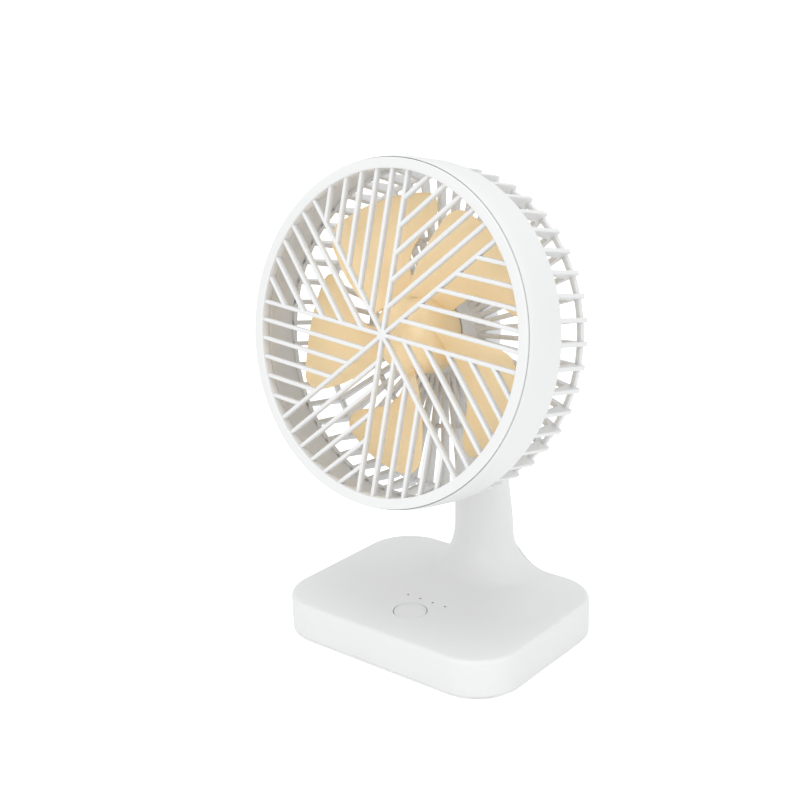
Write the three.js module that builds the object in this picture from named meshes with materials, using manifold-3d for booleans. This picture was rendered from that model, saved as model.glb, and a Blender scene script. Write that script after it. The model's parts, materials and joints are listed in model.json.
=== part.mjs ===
// Cordless desk fan: a weighted slab base with a flared neck, a tilting round head and a five-blade impeller.
// Millimetres, +Z up. The origin is at the middle of the footprint, on the plane that the feet stand on.
// The fan blows towards -Y. The head hangs on a friction hinge at the top of the neck.
import * as THREE from "three";
import { mergeVertices } from "three/addons/utils/BufferGeometryUtils.js";
import { ConvexGeometry } from "three/addons/geometries/ConvexGeometry.js";
import Module from "manifold-3d";

const wasm = await Module();
wasm.setup();

// ---------------------------------------------------------------- driving dimensions
const GAP = 0.3; // between pieces that touch on the real fan
const RAD = Math.PI / 180;

const FOOT_LIFT = 1; // how far the feet hold the shell off the table
const BASE_WIDTH = 153;
const BASE_DEPTH = 116.6;
const BASE_CORNER = 27;
const BASE_CENTRE_Y = 1.3;
const BASE_TOP = 22.5;
const BASE_WALL = 2.4;
const RIM_ROUND = 2.5;
const DISH = 1.1; // how far the top sinks between its rim and the neck
const DISH_START = 17; // distance from the neck at which it begins to sink

const NECK_Y = 46.2;
const NECK_HALF_X = 18.9; // half widths of the oval neck where its flare ends
const NECK_HALF_Y = 13;
const FLARE_RUN = 24;
const FLARE_RISE = 33;
const FLARE_POWER = 2.6; // 2 would make the flare a quarter of an ellipse; more hugs the corner
const NECK_FOOT_Z = BASE_TOP + FLARE_RISE;

const HINGE_Y = 39;
const HINGE_Z = 134;
const KNUCKLE_R = 10.5;
const KNUCKLE_HALF = 14;
const SLOT_HALF = 6.3;
const PIN_R = 2.4;
const PIN_HOLE_R = 2.6;

const HEAD_Y = -42.3; // centre of the front ring's face
const HEAD_Z = 184.7;
const HEAD_TILT = 11.1 * RAD;
const RING_R = 90;
const RING_INNER_R = 84.4;
const DRUM_DEPTH = 28.7;
const DRUM_BACK_R = 91.3;
const DRUM_WALL = 2.6;

const CAGE_R = 89.3;
const CAGE_BACK = 57.3;
const RIB_COUNT = 46;
const RIB_THICK = 2.4;
const RIB_DEEP = 5.4;
const HUB_FLANGE_R = 24;

const SPOKE_COUNT = 8;
const BARS_PER_SPOKE = 5;
const BAR_PITCH = 9.9;
const BAR_HALF = 1.1;
const BAR_DEEP = 3.2;
const SPOKE_TURN = -4.7 * RAD;

const BLADE_COUNT = 5;
const BLADE_R = 74;
const BLADE_START = 114 * RAD;
const HUB_R = 22;
const HUB_FRONT = 14;
const HUB_BACK = 41;
const BLADE_MID = 26.3; // depth of the blades' middle behind the ring's face
const BLADE_THICK = 1.5;

const BUTTON_R = 9.3;
const BUTTON_Y = -25;
const LIGHT_Y = -10.3;
const LIGHT_PITCH = 8.85;
const LIGHT_COUNT = 4;

// ---------------------------------------------------------------- materials
const plastic = (color, roughness = 0.45) =>
  new THREE.MeshStandardMaterial({ color, roughness, metalness: 0 });
const metal = (color, roughness = 0.35) =>
  new THREE.MeshStandardMaterial({ color, roughness, metalness: 1 });
const WHITE = plastic(0xf1f1ef);
const SHADE_WHITE = plastic(0xe9e9e9, 0.5);
const PEACH = plastic(0xffdca6, 0.4);
const RUBBER = plastic(0xb9b9b6, 0.85);
const STEEL = metal(0xb8babd);
const BRONZE = metal(0xa9814d, 0.5);
const BOARD_GREEN = plastic(0x1f6b3d, 0.5);
const CELL_SILVER = metal(0xc4c8cc, 0.5);
const BLACK = plastic(0x1d1d1f, 0.5);
const CLEAR = plastic(0xb9bec4, 0.2);
const WIRE_RED = plastic(0xb3312a, 0.5);

// ---------------------------------------------------------------- solids
function solid(geometry) {
  const bare = geometry.clone();
  bare.deleteAttribute("normal");
  bare.deleteAttribute("uv");
  const merged = mergeVertices(bare, 1e-4);
  return new wasm.Manifold(
    new wasm.Mesh({
      numProp: 3,
      vertProperties: new Float32Array(merged.attributes.position.array),
      triVerts: new Uint32Array(merged.index.array),
    }),
  );
}

function geometryOf(manifold) {
  const data = manifold.getMesh();
  const geometry = new THREE.BufferGeometry();
  geometry.setAttribute("position", new THREE.BufferAttribute(data.vertProperties, 3));
  geometry.setIndex(new THREE.BufferAttribute(data.triVerts, 1));
  return geometry;
}

function addMesh(parent, name, shape, material) {
  const mesh = new THREE.Mesh(geometryOf(shape), material);
  mesh.name = name;
  parent.add(mesh);
  return mesh;
}

const join = (pieces) => pieces.reduce((all, piece) => all.add(piece));
const cut = (body, pieces) => pieces.reduce((left, piece) => left.subtract(piece), body);

function box(width, depth, height, x = 0, y = 0, z = 0) {
  return solid(new THREE.BoxGeometry(width, depth, height).translate(x, y, z));
}

// A turned piece about the Y axis. The profile lists [radius, y] and closes on itself or on the axis.
function turned(profile, segments = 48) {
  const points = profile.map(([r, y]) => new THREE.Vector2(r, y));
  if (points[0].x > 0) points.push(points[0].clone());
  const area = points.reduce((sum, p, i) => {
    const q = points[(i + 1) % points.length];
    return sum + p.x * q.y - q.x * p.y;
  }, 0);
  if (area < 0) points.reverse();
  return solid(new THREE.LatheGeometry(points, segments));
}

const disc = (radius, y0, y1, segments = 32) =>
  turned([[0, y0], [radius, y0], [radius, y1], [0, y1]], segments);
const tube = (outer, inner, y0, y1, segments = 32) =>
  turned([[inner, y0], [outer, y0], [outer, y1], [inner, y1]], segments);

// The same turned pieces stood on the Z axis or laid on the X axis.
const onZ = (piece) => piece.rotate([90, 0, 0]);
const onX = (piece) => piece.rotate([0, 0, -90]);
const upright = (radius, z0, z1, x = 0, y = 0, segments = 32) =>
  onZ(disc(radius, z0, z1, segments)).translate([x, y, 0]);
const across = (radius, x0, x1, segments = 32) =>
  onX(disc(radius, x0, x1, segments)).translate([0, HINGE_Y, HINGE_Z]);
const acrossTube = (outer, inner, x0, x1, segments = 32) =>
  onX(tube(outer, inner, x0, x1, segments)).translate([0, HINGE_Y, HINGE_Z]);

// A closed skin over a stack of rings that all have the same number of points.
function loft(rings) {
  const count = rings[0].length;
  const positions = rings.flat().flatMap((p) => [p.x, p.y, p.z]);
  const index = [];
  rings.slice(1).forEach((_, level) => {
    for (let i = 0; i < count; i += 1) {
      const j = (i + 1) % count;
      const low = level * count;
      const high = low + count;
      index.push(low + i, low + j, high + j, low + i, high + j, high + i);
    }
  });
  const middle = (ring) =>
    ring.reduce((sum, p) => sum.add(p), new THREE.Vector3()).divideScalar(count);
  [rings[0], rings[rings.length - 1]].forEach((ring, end) => {
    const centre = middle(ring);
    const c = positions.length / 3;
    positions.push(centre.x, centre.y, centre.z);
    const start = end ? (rings.length - 1) * count : 0;
    for (let i = 0; i < count; i += 1) {
      const j = (i + 1) % count;
      if (end) index.push(c, start + i, start + j);
      else index.push(c, start + j, start + i);
    }
  });
  const geometry = new THREE.BufferGeometry();
  geometry.setAttribute("position", new THREE.Float32BufferAttribute(positions, 3));
  geometry.setIndex(index);
  return solid(geometry);
}

function wire(points, radius, steps) {
  const section = new THREE.Shape();
  section.absarc(0, 0, radius, 0, 2 * Math.PI);
  return solid(
    new THREE.ExtrudeGeometry(section, {
      steps,
      curveSegments: 4, // eight sides
      bevelEnabled: false,
      extrudePath: new THREE.CatmullRomCurve3(points.map((p) => new THREE.Vector3(...p))),
    }),
  );
}

// ---------------------------------------------------------------- base
// The slab's rounded rectangle, drawn in by `inset`: its points run anticlockwise, seen from the neck's axis.
// They crowd together behind the neck, where the wall rises into it.
function slabOutline(inset) {
  const halfX = BASE_WIDTH / 2 - inset;
  const halfY = BASE_DEPTH / 2 - inset;
  const corner = BASE_CORNER - inset;
  const cx = halfX - corner;
  const cy = halfY - corner;
  const arc = (x, y, from) =>
    [0, 18, 36, 54, 72, 90].map((step) => [
      x + corner * Math.cos((from + step) * RAD),
      y + corner * Math.sin((from + step) * RAD),
    ]);
  const side = (xs, y) => xs.map((x) => [x, y]);
  const rear = [33, 23, 16, 10, 5, 0, -5, -10, -16, -23, -33];
  const points = [
    ...arc(cx, cy, 0),
    ...side(rear, halfY),
    ...arc(-cx, cy, 90),
    [-halfX, 0],
    ...arc(-cx, -cy, 180),
    ...side([-25, 0, 25], -halfY),
    ...arc(cx, -cy, 270),
    [halfX, 0],
  ];
  return points.map(([x, y]) => new THREE.Vector2(x, y + BASE_CENTRE_Y - NECK_Y));
}

const ovalReach = (angle, a, b) =>
  1 / Math.hypot(Math.cos(angle) / a, Math.sin(angle) / b);

// Height of the fillet that sweeps up to the neck, a quarter of a superellipse, at one distance from it.
function flare(distance) {
  const left = Math.max(0, 1 - distance / FLARE_RUN) ** FLARE_POWER;
  return FLARE_RISE * (1 - (1 - left) ** (1 / FLARE_POWER));
}

// Shallow dish of the slab's top, deepest halfway between the flare and the rim.
function dish(distance, reach) {
  if (distance < DISH_START || reach < 2 * DISH_START) return 0;
  const s = (distance - DISH_START) / (reach - DISH_START);
  return DISH * Math.sin(Math.PI * s) ** 2 * Math.min(1, reach / DISH_START - 2);
}

// The slab, its flare and the neck as one closed skin, drawn in by `inset` all round for the hollow.
function baseBody(inset, bottom, neckTop, rimTurns, topParts) {
  const outline = slabOutline(inset);
  const angles = outline.map((p) => Math.atan2(p.y, p.x));
  const top = BASE_TOP - inset;
  const reach = outline.map((p) => p.length());
  const neck = angles.map((a) => ovalReach(a, NECK_HALF_X - inset, NECK_HALF_Y - inset));
  const span = angles.map((_, i) => Math.max(reach[i] - neck[i], 0.3));
  const edge = angles.map((_, i) => Math.min(RIM_ROUND, span[i] * 0.4));
  const at = (i, radius, z) =>
    new THREE.Vector3(
      radius * Math.cos(angles[i]),
      NECK_Y + radius * Math.sin(angles[i]),
      z,
    );
  const rim = (i) => top + flare(span[i] - edge[i]);
  const rings = [];
  rings.push(angles.map((_, i) => at(i, neck[i] + span[i] - edge[i] * 0.5, bottom)));
  rings.push(angles.map((_, i) => at(i, neck[i] + span[i], bottom + 1.5)));
  for (const turn of rimTurns) {
    const out = Math.cos(turn * RAD);
    const up = Math.sin(turn * RAD);
    const rounded = (i) => neck[i] + span[i] - edge[i] * (1 - out);
    rings.push(angles.map((_, i) => at(i, rounded(i), rim(i) - edge[i] * (1 - up))));
  }
  for (const part of topParts) {
    rings.push(
      angles.map((_, i) => {
        const distance = (span[i] - edge[i]) * part;
        return at(i, neck[i] + distance, top + flare(distance) - dish(distance, reach[i] - neck[i]));
      }),
    );
  }
  for (const s of [0.5, 1]) {
    const z = top + FLARE_RISE + (neckTop - top - FLARE_RISE) * s;
    const rise = (z - NECK_FOOT_Z) / (HINGE_Z - NECK_FOOT_Z);
    const y = NECK_Y + (HINGE_Y - NECK_Y) * rise ** 1.3;
    const a = NECK_HALF_X + (KNUCKLE_HALF - NECK_HALF_X) * rise - inset;
    const b = NECK_HALF_Y + (KNUCKLE_R - NECK_HALF_Y) * rise - inset;
    rings.push(angles.map((t) => new THREE.Vector3(a * Math.cos(t), y + b * Math.sin(t), z)));
  }
  return loft(rings);
}

const lightSpots = Array.from(
  { length: LIGHT_COUNT },
  (_, i) => (i - (LIGHT_COUNT - 1) / 2) * LIGHT_PITCH,
);
const footSpots = [-1, 1].flatMap((sx) => [-1, 1].map((sy) => [sx * 58, BASE_CENTRE_Y + sy * 39]));
const screwSpots = [-1, 1].flatMap((sx) => [-1, 1].map((sy) => [sx * 42, BASE_CENTRE_Y + sy * 44]));
const COVER_TOP = FOOT_LIFT + 2.6;
const COVER_BOTTOM = FOOT_LIFT + 0.4;
const SOCKET_Z = 11;
const BOSS_FOOT = COVER_TOP + GAP; // the screw bosses end just above the cover
const REAR_Y = BASE_CENTRE_Y + BASE_DEPTH / 2;

const base = new THREE.Group();

const knuckle = onX(
  turned(
    [
      [0, -KNUCKLE_HALF],
      [KNUCKLE_R - 1.6, -KNUCKLE_HALF],
      [KNUCKLE_R, 1.6 - KNUCKLE_HALF],
      [KNUCKLE_R, KNUCKLE_HALF - 1.6],
      [KNUCKLE_R - 1.6, KNUCKLE_HALF],
      [0, KNUCKLE_HALF],
    ],
    28,
  ),
).translate([0, HINGE_Y, HINGE_Z]);
const slotFloor = HINGE_Z - KNUCKLE_R - 2;
const shellCuts = [
  box(2 * SLOT_HALF, 60, 60, 0, HINGE_Y, slotFloor + 30),
  across(PIN_HOLE_R, -40, 40, 16),
  across(5.2, 9.4, 40, 16),
  across(5.2, -40, -9.4, 16),
  across(7.3, 12.2, 40, 24),
  across(7.3, -40, -12.2, 24),
  upright(3.4, slotFloor - 12, slotFloor + 5, 0, HINGE_Y, 12),
  upright(BUTTON_R + 0.35, 8, 30, 0, BUTTON_Y, 32),
  ...lightSpots.map((x) => upright(0.75, 12, 30, x, LIGHT_Y, 6)),
  box(9.6, 12, 4, 0, REAR_Y - 2, SOCKET_Z),
];
const SKIN_PARTS = [0.6, 0.32, 0.2, 0.11, 0.04, 0];
const HOLLOW_PARTS = [0.32, 0.2, 0.11, 0.04, 0];
const skin = baseBody(0, FOOT_LIFT, HINGE_Z, [0, 45, 90], SKIN_PARTS);
const hollow = baseBody(BASE_WALL, FOOT_LIFT - 3, slotFloor - 4, [90], HOLLOW_PARTS);
const bosses = screwSpots.map(([x, y]) => upright(3.6, BOSS_FOOT, BASE_TOP - 1.6, x, y, 10));
const emptyShell = cut(skin.add(knuckle), [hollow]);
const shell = cut(join([emptyShell, ...bosses]), [
  ...shellCuts,
  ...screwSpots.map(([x, y]) => upright(1.7, BOSS_FOOT - 1, BOSS_FOOT + 10, x, y, 8)),
]);
addMesh(base, "base_shell", shell, WHITE);

// The underside cover sits inside the wall. Its outline is the slab's, drawn in past the wall.
function slabPlate(inset, z0, z1, corner = BASE_CORNER - inset) {
  const w = BASE_WIDTH / 2 - inset;
  const d = BASE_DEPTH / 2 - inset;
  const outline = new THREE.Shape();
  outline.moveTo(-w + corner, -d);
  outline.lineTo(w - corner, -d);
  outline.absarc(w - corner, -d + corner, corner, -Math.PI / 2, 0);
  outline.absarc(w - corner, d - corner, corner, 0, Math.PI / 2);
  outline.absarc(-w + corner, d - corner, corner, Math.PI / 2, Math.PI);
  outline.absarc(-w + corner, -d + corner, corner, Math.PI, 1.5 * Math.PI);
  const plate = new THREE.ExtrudeGeometry(outline, {
    depth: z1 - z0,
    curveSegments: 5,
    bevelEnabled: false,
  });
  return solid(plate.translate(0, BASE_CENTRE_Y, z0));
}
const cover = cut(slabPlate(BASE_WALL + 1.4, COVER_BOTTOM, COVER_TOP), [
  ...screwSpots.map(([x, y]) => upright(1.8, 0, 5, x, y, 8)),
  ...screwSpots.map(([x, y]) => upright(3.4, 0, COVER_BOTTOM + 1, x, y, 10)),
  ...footSpots.map(([x, y]) => upright(6.4, 0, COVER_BOTTOM + 0.8, x, y, 16)),
]);
addMesh(base, "bottom_cover", cover, SHADE_WHITE);

footSpots.forEach(([x, y], i) => {
  const pad = onZ(
    turned([[0, 0], [5.4, 0], [6, 0.5], [6, COVER_BOTTOM + 0.7], [0, COVER_BOTTOM + 0.7]], 16),
  );
  addMesh(base, `foot_${i + 1}`, pad.translate([x, y, 0]), RUBBER);
});

screwSpots.forEach(([x, y], i) => {
  const head = upright(3, COVER_BOTTOM + 0.1, COVER_BOTTOM + 0.9, x, y, 10);
  const shank = upright(1.5, COVER_BOTTOM + 0.5, BOSS_FOOT + 7, x, y, 8);
  addMesh(base, `base_screw_${i + 1}`, head.add(shank), STEEL);
});

// Inside the slab, from the cover up: the ballast, the cell beside the board, the switch and the lights.
const FLOOR = COVER_TOP + GAP;
addMesh(base, "ballast_plate", box(66, 60, 3.4, 0, 2, FLOOR + 1.7), STEEL);
const CELL_TOP = FLOOR + 3.4 + GAP + 7;
addMesh(base, "battery_cell", box(60, 26, 7, 0, 18, CELL_TOP - 3.5), CELL_SILVER);
const BOARD_Z = FLOOR + 3.4 + GAP + 2;
addMesh(base, "control_board", box(58, 26, 1.4, 0, -17, BOARD_Z + 0.7), BOARD_GREEN);
const SWITCH_TOP = BOARD_Z + 1.4 + GAP + 3.6;
const switchBody = box(6, 6, 3, 0, BUTTON_Y, BOARD_Z + 1.4 + GAP + 1.5).add(
  upright(1.7, BOARD_Z + 3, SWITCH_TOP, 0, BUTTON_Y, 10),
);
addMesh(base, "push_switch", switchBody, BLACK);

const guideBar = box(LIGHT_PITCH * 3 + 4, 3, 1.2, 0, LIGHT_Y, BOARD_Z + 1.4 + GAP + 2.6);
const guidePins = lightSpots.map((x) => upright(0.55, BOARD_Z + 4, BASE_TOP - 1, x, LIGHT_Y, 6));
addMesh(base, "light_guide", join([guideBar, ...guidePins]), CLEAR);

const socketShell = cut(box(8.8, 7.2, 3.2, 0, REAR_Y - 3.7, SOCKET_Z), [
  box(8.2, 7.2, 2.6, 0, REAR_Y - 2.9, SOCKET_Z),
]);
const socketTongue = box(6.4, 5, 0.7, 0, REAR_Y - 4.3, SOCKET_Z);
addMesh(base, "usb_socket", socketShell.add(socketTongue), STEEL);
addMesh(base, "socket_board", box(16, 16, 1.4, 0, REAR_Y - 16, SOCKET_Z - 2.6), BOARD_GREEN);

addMesh(
  base,
  "battery_lead",
  wire([[33, 24, 11], [36, 18, 11], [36, 6, 10], [35, -6, 9.6], [31, -14, 9.6]], 0.9, 16),
  WIRE_RED,
);
addMesh(
  base,
  "neck_lead",
  wire(
    [
      [-26, -14, 12.8],
      [-35, -4, 13],
      [-37, 12, 13.4],
      [-33, 30, 14],
      [-20, 40.5, 15.5],
      [-6, 45, 21],
      [-1, 46.5, 33],
      [0, 46, 60],
      [0, 43.5, 95],
      [0, 41, slotFloor - 9],
      [0, HINGE_Y, slotFloor - 1],
    ],
    1.4,
    34,
  ),
  BLACK,
);

// ---------------------------------------------------------------- tilt hinge
const pinHead = across(4.6, 9.8, 12, 16);
const hingeBolt = pinHead.add(across(PIN_R, -12, 10.5, 16));
addMesh(base, "hinge_bolt", hingeBolt, STEEL);
const nut = cut(across(4.9, -12, -9.8, 6), [across(PIN_HOLE_R, -14, -8, 16)]);
addMesh(base, "hinge_nut", nut, STEEL);
addMesh(base, "hinge_cap_left", across(6.9, -14, -12.6, 24), WHITE);
addMesh(base, "hinge_cap_right", across(6.9, 12.6, 14, 24), WHITE);
[-1, 1].forEach((side) => {
  const inner = Math.min(side * 5.5, side * 6.1);
  const washer = acrossTube(8.5, PIN_HOLE_R + 0.2, inner, inner + 0.6, 20);
  addMesh(base, side < 0 ? "friction_washer_left" : "friction_washer_right", washer, BLACK);
});

// ---------------------------------------------------------------- button
const control = new THREE.Group();
const BUTTON_TOP = BASE_TOP - 0.9; // flush with the dished top
const buttonCap = onZ(
  turned(
    [
      [0, BUTTON_TOP - 2.6],
      [BUTTON_R - 1.4, BUTTON_TOP - 2.6],
      [BUTTON_R - 1.4, BUTTON_TOP - 4.4],
      [BUTTON_R, BUTTON_TOP - 4.4],
      [BUTTON_R, BUTTON_TOP - 0.7],
      [BUTTON_R - 0.8, BUTTON_TOP],
      [0, BUTTON_TOP - 0.3],
    ],
    32,
  ),
).translate([0, BUTTON_Y, 0]);
const plunger = upright(2, SWITCH_TOP + 1, BUTTON_TOP - 2, 0, BUTTON_Y, 10);
addMesh(control, "power_button", buttonCap.add(plunger), WHITE);

// ---------------------------------------------------------------- head, in its own frame
// Its origin is the centre of the ring's front face; +Y runs back along the fan's axis, +Z is its top.
const head = new THREE.Group();
head.position.set(0, HEAD_Y, HEAD_Z);
head.rotation.x = -HEAD_TILT;

const drumProfile = [
  [RING_R + GAP, 1.2],
  [DRUM_BACK_R, 6],
  [DRUM_BACK_R, DRUM_DEPTH - 1],
  [DRUM_BACK_R - 0.8, DRUM_DEPTH],
  [DRUM_BACK_R - DRUM_WALL - 0.4, DRUM_DEPTH],
  [RING_R - DRUM_WALL, 9],
  [RING_R - 5.2, 8.4],
  [RING_R - 5.2, 6.2],
  [RING_R + GAP, 5.2],
];
addMesh(head, "drum", turned(drumProfile, 56), WHITE);

// A bar of the grille: a long prism with a rounded front, between two points in the plane of the grille.
function grilleBar(from, to, half, front, deep) {
  const section = new THREE.Shape();
  section.moveTo(-half, -deep);
  section.lineTo(half, -deep);
  section.lineTo(half, -half * 0.6);
  section.lineTo(0, 0);
  section.lineTo(-half, -half * 0.6);
  section.closePath();
  const length = from.distanceTo(to);
  const bar = new THREE.ExtrudeGeometry(section, { depth: length, bevelEnabled: false });
  const along = to.clone().sub(from).normalize();
  const out = new THREE.Vector3(0, -1, 0);
  const side = out.clone().cross(along);
  const place = new THREE.Matrix4().makeBasis(side, out, along);
  place.setPosition(from.x, front, from.z);
  return solid(bar.applyMatrix4(place));
}

const inPlane = (x, z) => new THREE.Vector3(x, 0, z);
const BAR_END = RING_INNER_R + 1.6;
const grilleBars = [];
for (let k = 0; k < SPOKE_COUNT; k += 1) {
  const angle = (k * 2 * Math.PI) / SPOKE_COUNT + SPOKE_TURN;
  const along = [Math.cos(angle), Math.sin(angle)];
  const left = [-Math.sin(angle), Math.cos(angle)];
  for (let n = 0; n <= BARS_PER_SPOKE; n += 1) {
    const offset = n * BAR_PITCH;
    const start = n === 0 ? 0 : offset; // the next spoke stands at 45 degrees, so it is met at this run
    const end = Math.sqrt(BAR_END ** 2 - offset ** 2);
    const at = (t) => inPlane(along[0] * t + left[0] * offset, along[1] * t + left[1] * offset);
    grilleBars.push(grilleBar(at(start), at(end), BAR_HALF, 1.1, BAR_DEEP));
  }
}
const grilleRing = turned(
  [
    [RING_INNER_R, 0.7],
    [RING_INNER_R + 0.6, 0],
    [RING_R - 0.5, 0],
    [RING_R, 0.5],
    [RING_R, 4.6],
    [RING_INNER_R, 5.6],
  ],
  56,
);
const grilleNode = disc(3, 1, 4.4, 12);
addMesh(head, "front_grille", join([...grilleBars, grilleNode, grilleRing]), WHITE);

// The rear cage is a cup with its windows cut out, so that its ribs and rings are what is left.
const CAGE_CUP = [
  [HUB_FLANGE_R - 3, CAGE_BACK - 4],
  [HUB_FLANGE_R - 3, CAGE_BACK],
  [CAGE_R, CAGE_BACK],
  [CAGE_R, DRUM_DEPTH + GAP],
  [CAGE_R - 2.4, DRUM_DEPTH + GAP],
  [CAGE_R - 6.4, CAGE_BACK - RIB_DEEP],
];
// Each window's inner and outer radius and its front and back depth: two rounds of gaps in the back, the open
// side, and the notch that leaves the outer ring with the ribs' tips standing proud of it.
const OUTER_RING_R = 86.7;
const CAGE_WINDOWS = [
  [HUB_FLANGE_R + 3, 50.6, CAGE_BACK - 12, CAGE_BACK + 3],
  [53, 84, CAGE_BACK - 12, CAGE_BACK + 3],
  [78, 100, DRUM_DEPTH + 2.3, CAGE_BACK - 3.2],
  [OUTER_RING_R, 100, CAGE_BACK - 5, CAGE_BACK + 3],
];
function cageWindow(angle, [inner, outer, front, back]) {
  const halfGap = (radius) => radius * Math.tan(Math.PI / RIB_COUNT) - RIB_THICK / 2;
  const corners = [inner, outer].flatMap((radius) =>
    [-1, 1].flatMap((side) =>
      [front, back].map((depth) => new THREE.Vector3(radius, depth, side * halfGap(radius))),
    ),
  );
  return solid(new ConvexGeometry(corners).rotateY(angle));
}
const gapAngles = Array.from(
  { length: RIB_COUNT },
  (_, i) => Math.PI / 2 + ((i + 0.5) * 2 * Math.PI) / RIB_COUNT,
);
const windows = gapAngles.flatMap((angle) => CAGE_WINDOWS.map((window) => cageWindow(angle, window)));
const podProfile = [
  [19.6, 43],
  [21.6, 43],
  [21.8, 52],
  [HUB_FLANGE_R, CAGE_BACK],
  [8, CAGE_BACK],
  [8, CAGE_BACK - 2],
  [19.6, CAGE_BACK - 2],
];
const cageScrewSpots = [90, 210, 330].map((a) => [15 * Math.cos(a * RAD), 15 * Math.sin(a * RAD)]);
const motorScrewSpots = [0, 180].map((a) => [11 * Math.cos(a * RAD), 11 * Math.sin(a * RAD)]);
const alongAxis = (radius, y0, y1, x, z, segments = 8) =>
  disc(radius, y0, y1, segments).translate([x, 0, z]);
const cup = cut(turned(CAGE_CUP, RIB_COUNT), windows);
const cage = cut(cup.add(turned(podProfile, RIB_COUNT)), [
  disc(7.8, 40, 70, 16),
  ...cageScrewSpots.map(([x, z]) => alongAxis(1.5, 50, 62, x, z)),
  ...motorScrewSpots.map(([x, z]) => alongAxis(1.5, 50, 62, x, z)),
]);
addMesh(head, "rear_cage", cage, WHITE);

// Motor housing behind the cage, with the tongue that hangs on the hinge.
const POD_R = 26.5;
const POD_FRONT = CAGE_BACK + GAP;
const POD_BACK = POD_FRONT + 18;
const toHead = (y, z) => {
  const dy = y - HEAD_Y;
  const dz = z - HEAD_Z;
  return [
    dy * Math.cos(HEAD_TILT) - dz * Math.sin(HEAD_TILT),
    dy * Math.sin(HEAD_TILT) + dz * Math.cos(HEAD_TILT),
  ];
};
const [hingeDepth, hingeUp] = toHead(HINGE_Y, HINGE_Z);
const TONGUE_HALF = 5.2;
const TONGUE_R = 9.4;
const tonguePoints = [
  [hingeDepth, hingeUp, TONGUE_R],
  [POD_FRONT + 9.5, -14, 8],
].flatMap(([depth, up, radius]) =>
  Array.from({ length: 24 }, (_, i) => i * 15 * RAD).flatMap((a) =>
    [-TONGUE_HALF, TONGUE_HALF].map(
      (x) => new THREE.Vector3(x, depth + radius * Math.cos(a), up + radius * Math.sin(a)),
    ),
  ),
);
const housingBody = turned(
  [
    [0, POD_FRONT],
    [POD_R, POD_FRONT],
    [POD_R, POD_BACK - 6],
    [POD_R - 1.2, POD_BACK - 2.6],
    [POD_R - 4.5, POD_BACK - 0.4],
    [POD_R - 8, POD_BACK],
    [0, POD_BACK],
  ],
  30,
);
const housing = cut(housingBody.add(solid(new ConvexGeometry(tonguePoints))), [
  disc(POD_R - 2.2, POD_FRONT - 1, POD_BACK - 5, 28),
  disc(10.3, POD_BACK - 1.8, POD_BACK + 3, 28),
  disc(3, POD_BACK - 8, POD_BACK + 3, 12),
  onX(disc(PIN_HOLE_R, -20, 20, 16)).translate([0, hingeDepth, hingeUp]),
  ...cageScrewSpots.map(([x, z]) => alongAxis(1.7, POD_BACK - 9, POD_BACK + 3, x, z)),
  ...cageScrewSpots.map(([x, z]) => alongAxis(3, POD_BACK - 2.6, POD_BACK + 3, x, z, 12)),
]);
addMesh(head, "motor_housing", housing, WHITE);
const capDisc = turned(
  [
    [0, POD_BACK - 1.5],
    [10, POD_BACK - 1.5],
    [10, POD_BACK + 0.1],
    [9.4, POD_BACK + 0.5],
    [0, POD_BACK + 0.9],
  ],
  28,
);
addMesh(head, "housing_cap", capDisc.add(disc(2.7, POD_BACK - 4, POD_BACK - 1, 12)), SHADE_WHITE);
cageScrewSpots.forEach(([x, z], i) => {
  const screw = alongAxis(2.7, POD_BACK - 2.2, POD_BACK - 0.8, x, z, 12).add(
    alongAxis(1.3, CAGE_BACK - 1.6, POD_BACK - 2, x, z),
  );
  addMesh(head, `housing_screw_${i + 1}`, screw, STEEL);
});

// Motor: a can inside the cage's cup, its bushes, its rear circuit ring and two screws.
const CAN_R = 18.6;
const CAN_FRONT = 44.5;
const CAN_BACK = CAGE_BACK - 2 - GAP;
const can = turned(
  [
    [3.6, CAN_FRONT],
    [CAN_R - 1.5, CAN_FRONT],
    [CAN_R, CAN_FRONT + 1.5],
    [CAN_R, CAN_BACK],
    [7, CAN_BACK],
    [7, CAN_BACK - 4.4],
    [3.6, CAN_BACK - 4.4],
  ],
  24,
);
const motorCan = cut(can, motorScrewSpots.map(([x, z]) => alongAxis(1.4, CAN_BACK - 5, CAN_BACK + 1, x, z)));
addMesh(head, "motor_can", motorCan, STEEL);
addMesh(head, "front_bush", tube(3.3, 1.6, CAN_FRONT - 0.6, CAN_FRONT + 3.4, 12), BRONZE);
addMesh(head, "rear_bush", tube(6.6, 1.6, CAN_BACK - 4, CAN_BACK - 0.2, 16), BRONZE);
motorScrewSpots.forEach(([x, z], i) => {
  const screw = alongAxis(2.5, CAGE_BACK + 0.1, CAGE_BACK + 1.6, x, z, 12).add(
    alongAxis(1.2, CAN_BACK - 4.6, CAGE_BACK + 0.5, x, z),
  );
  addMesh(head, `motor_screw_${i + 1}`, screw, STEEL);
});
addMesh(head, "motor_board", tube(13, 7.4, POD_FRONT + 4.4, POD_FRONT + 5.8, 20), BOARD_GREEN);
addMesh(
  head,
  "head_lead",
  wire(
    [
      [0, POD_FRONT + 7.4, -9.5],
      [4, POD_FRONT + 8.6, -12],
      [6, POD_FRONT + 9.4, -17],
      [2, POD_FRONT + 9.6, -21.4],
    ],
    1.2,
    9,
  ),
  BLACK,
);

// ---------------------------------------------------------------- impeller
const rotor = new THREE.Group();
head.add(rotor);

// Angles from the blade's middle to its two edges, at a share of the way from hub to tip. The leading edge
// sweeps forward to a broad tip; the trailing edge draws in a little.
function bladeEdges(share) {
  const x = Math.min(1, Math.max(0, (share - 0.25) / 0.6));
  const leading = -4.5 - 23 * (3 * x * x - 2 * x ** 3);
  const trailing = 44 - 17 * share;
  return [leading * RAD, trailing * RAD];
}

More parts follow.
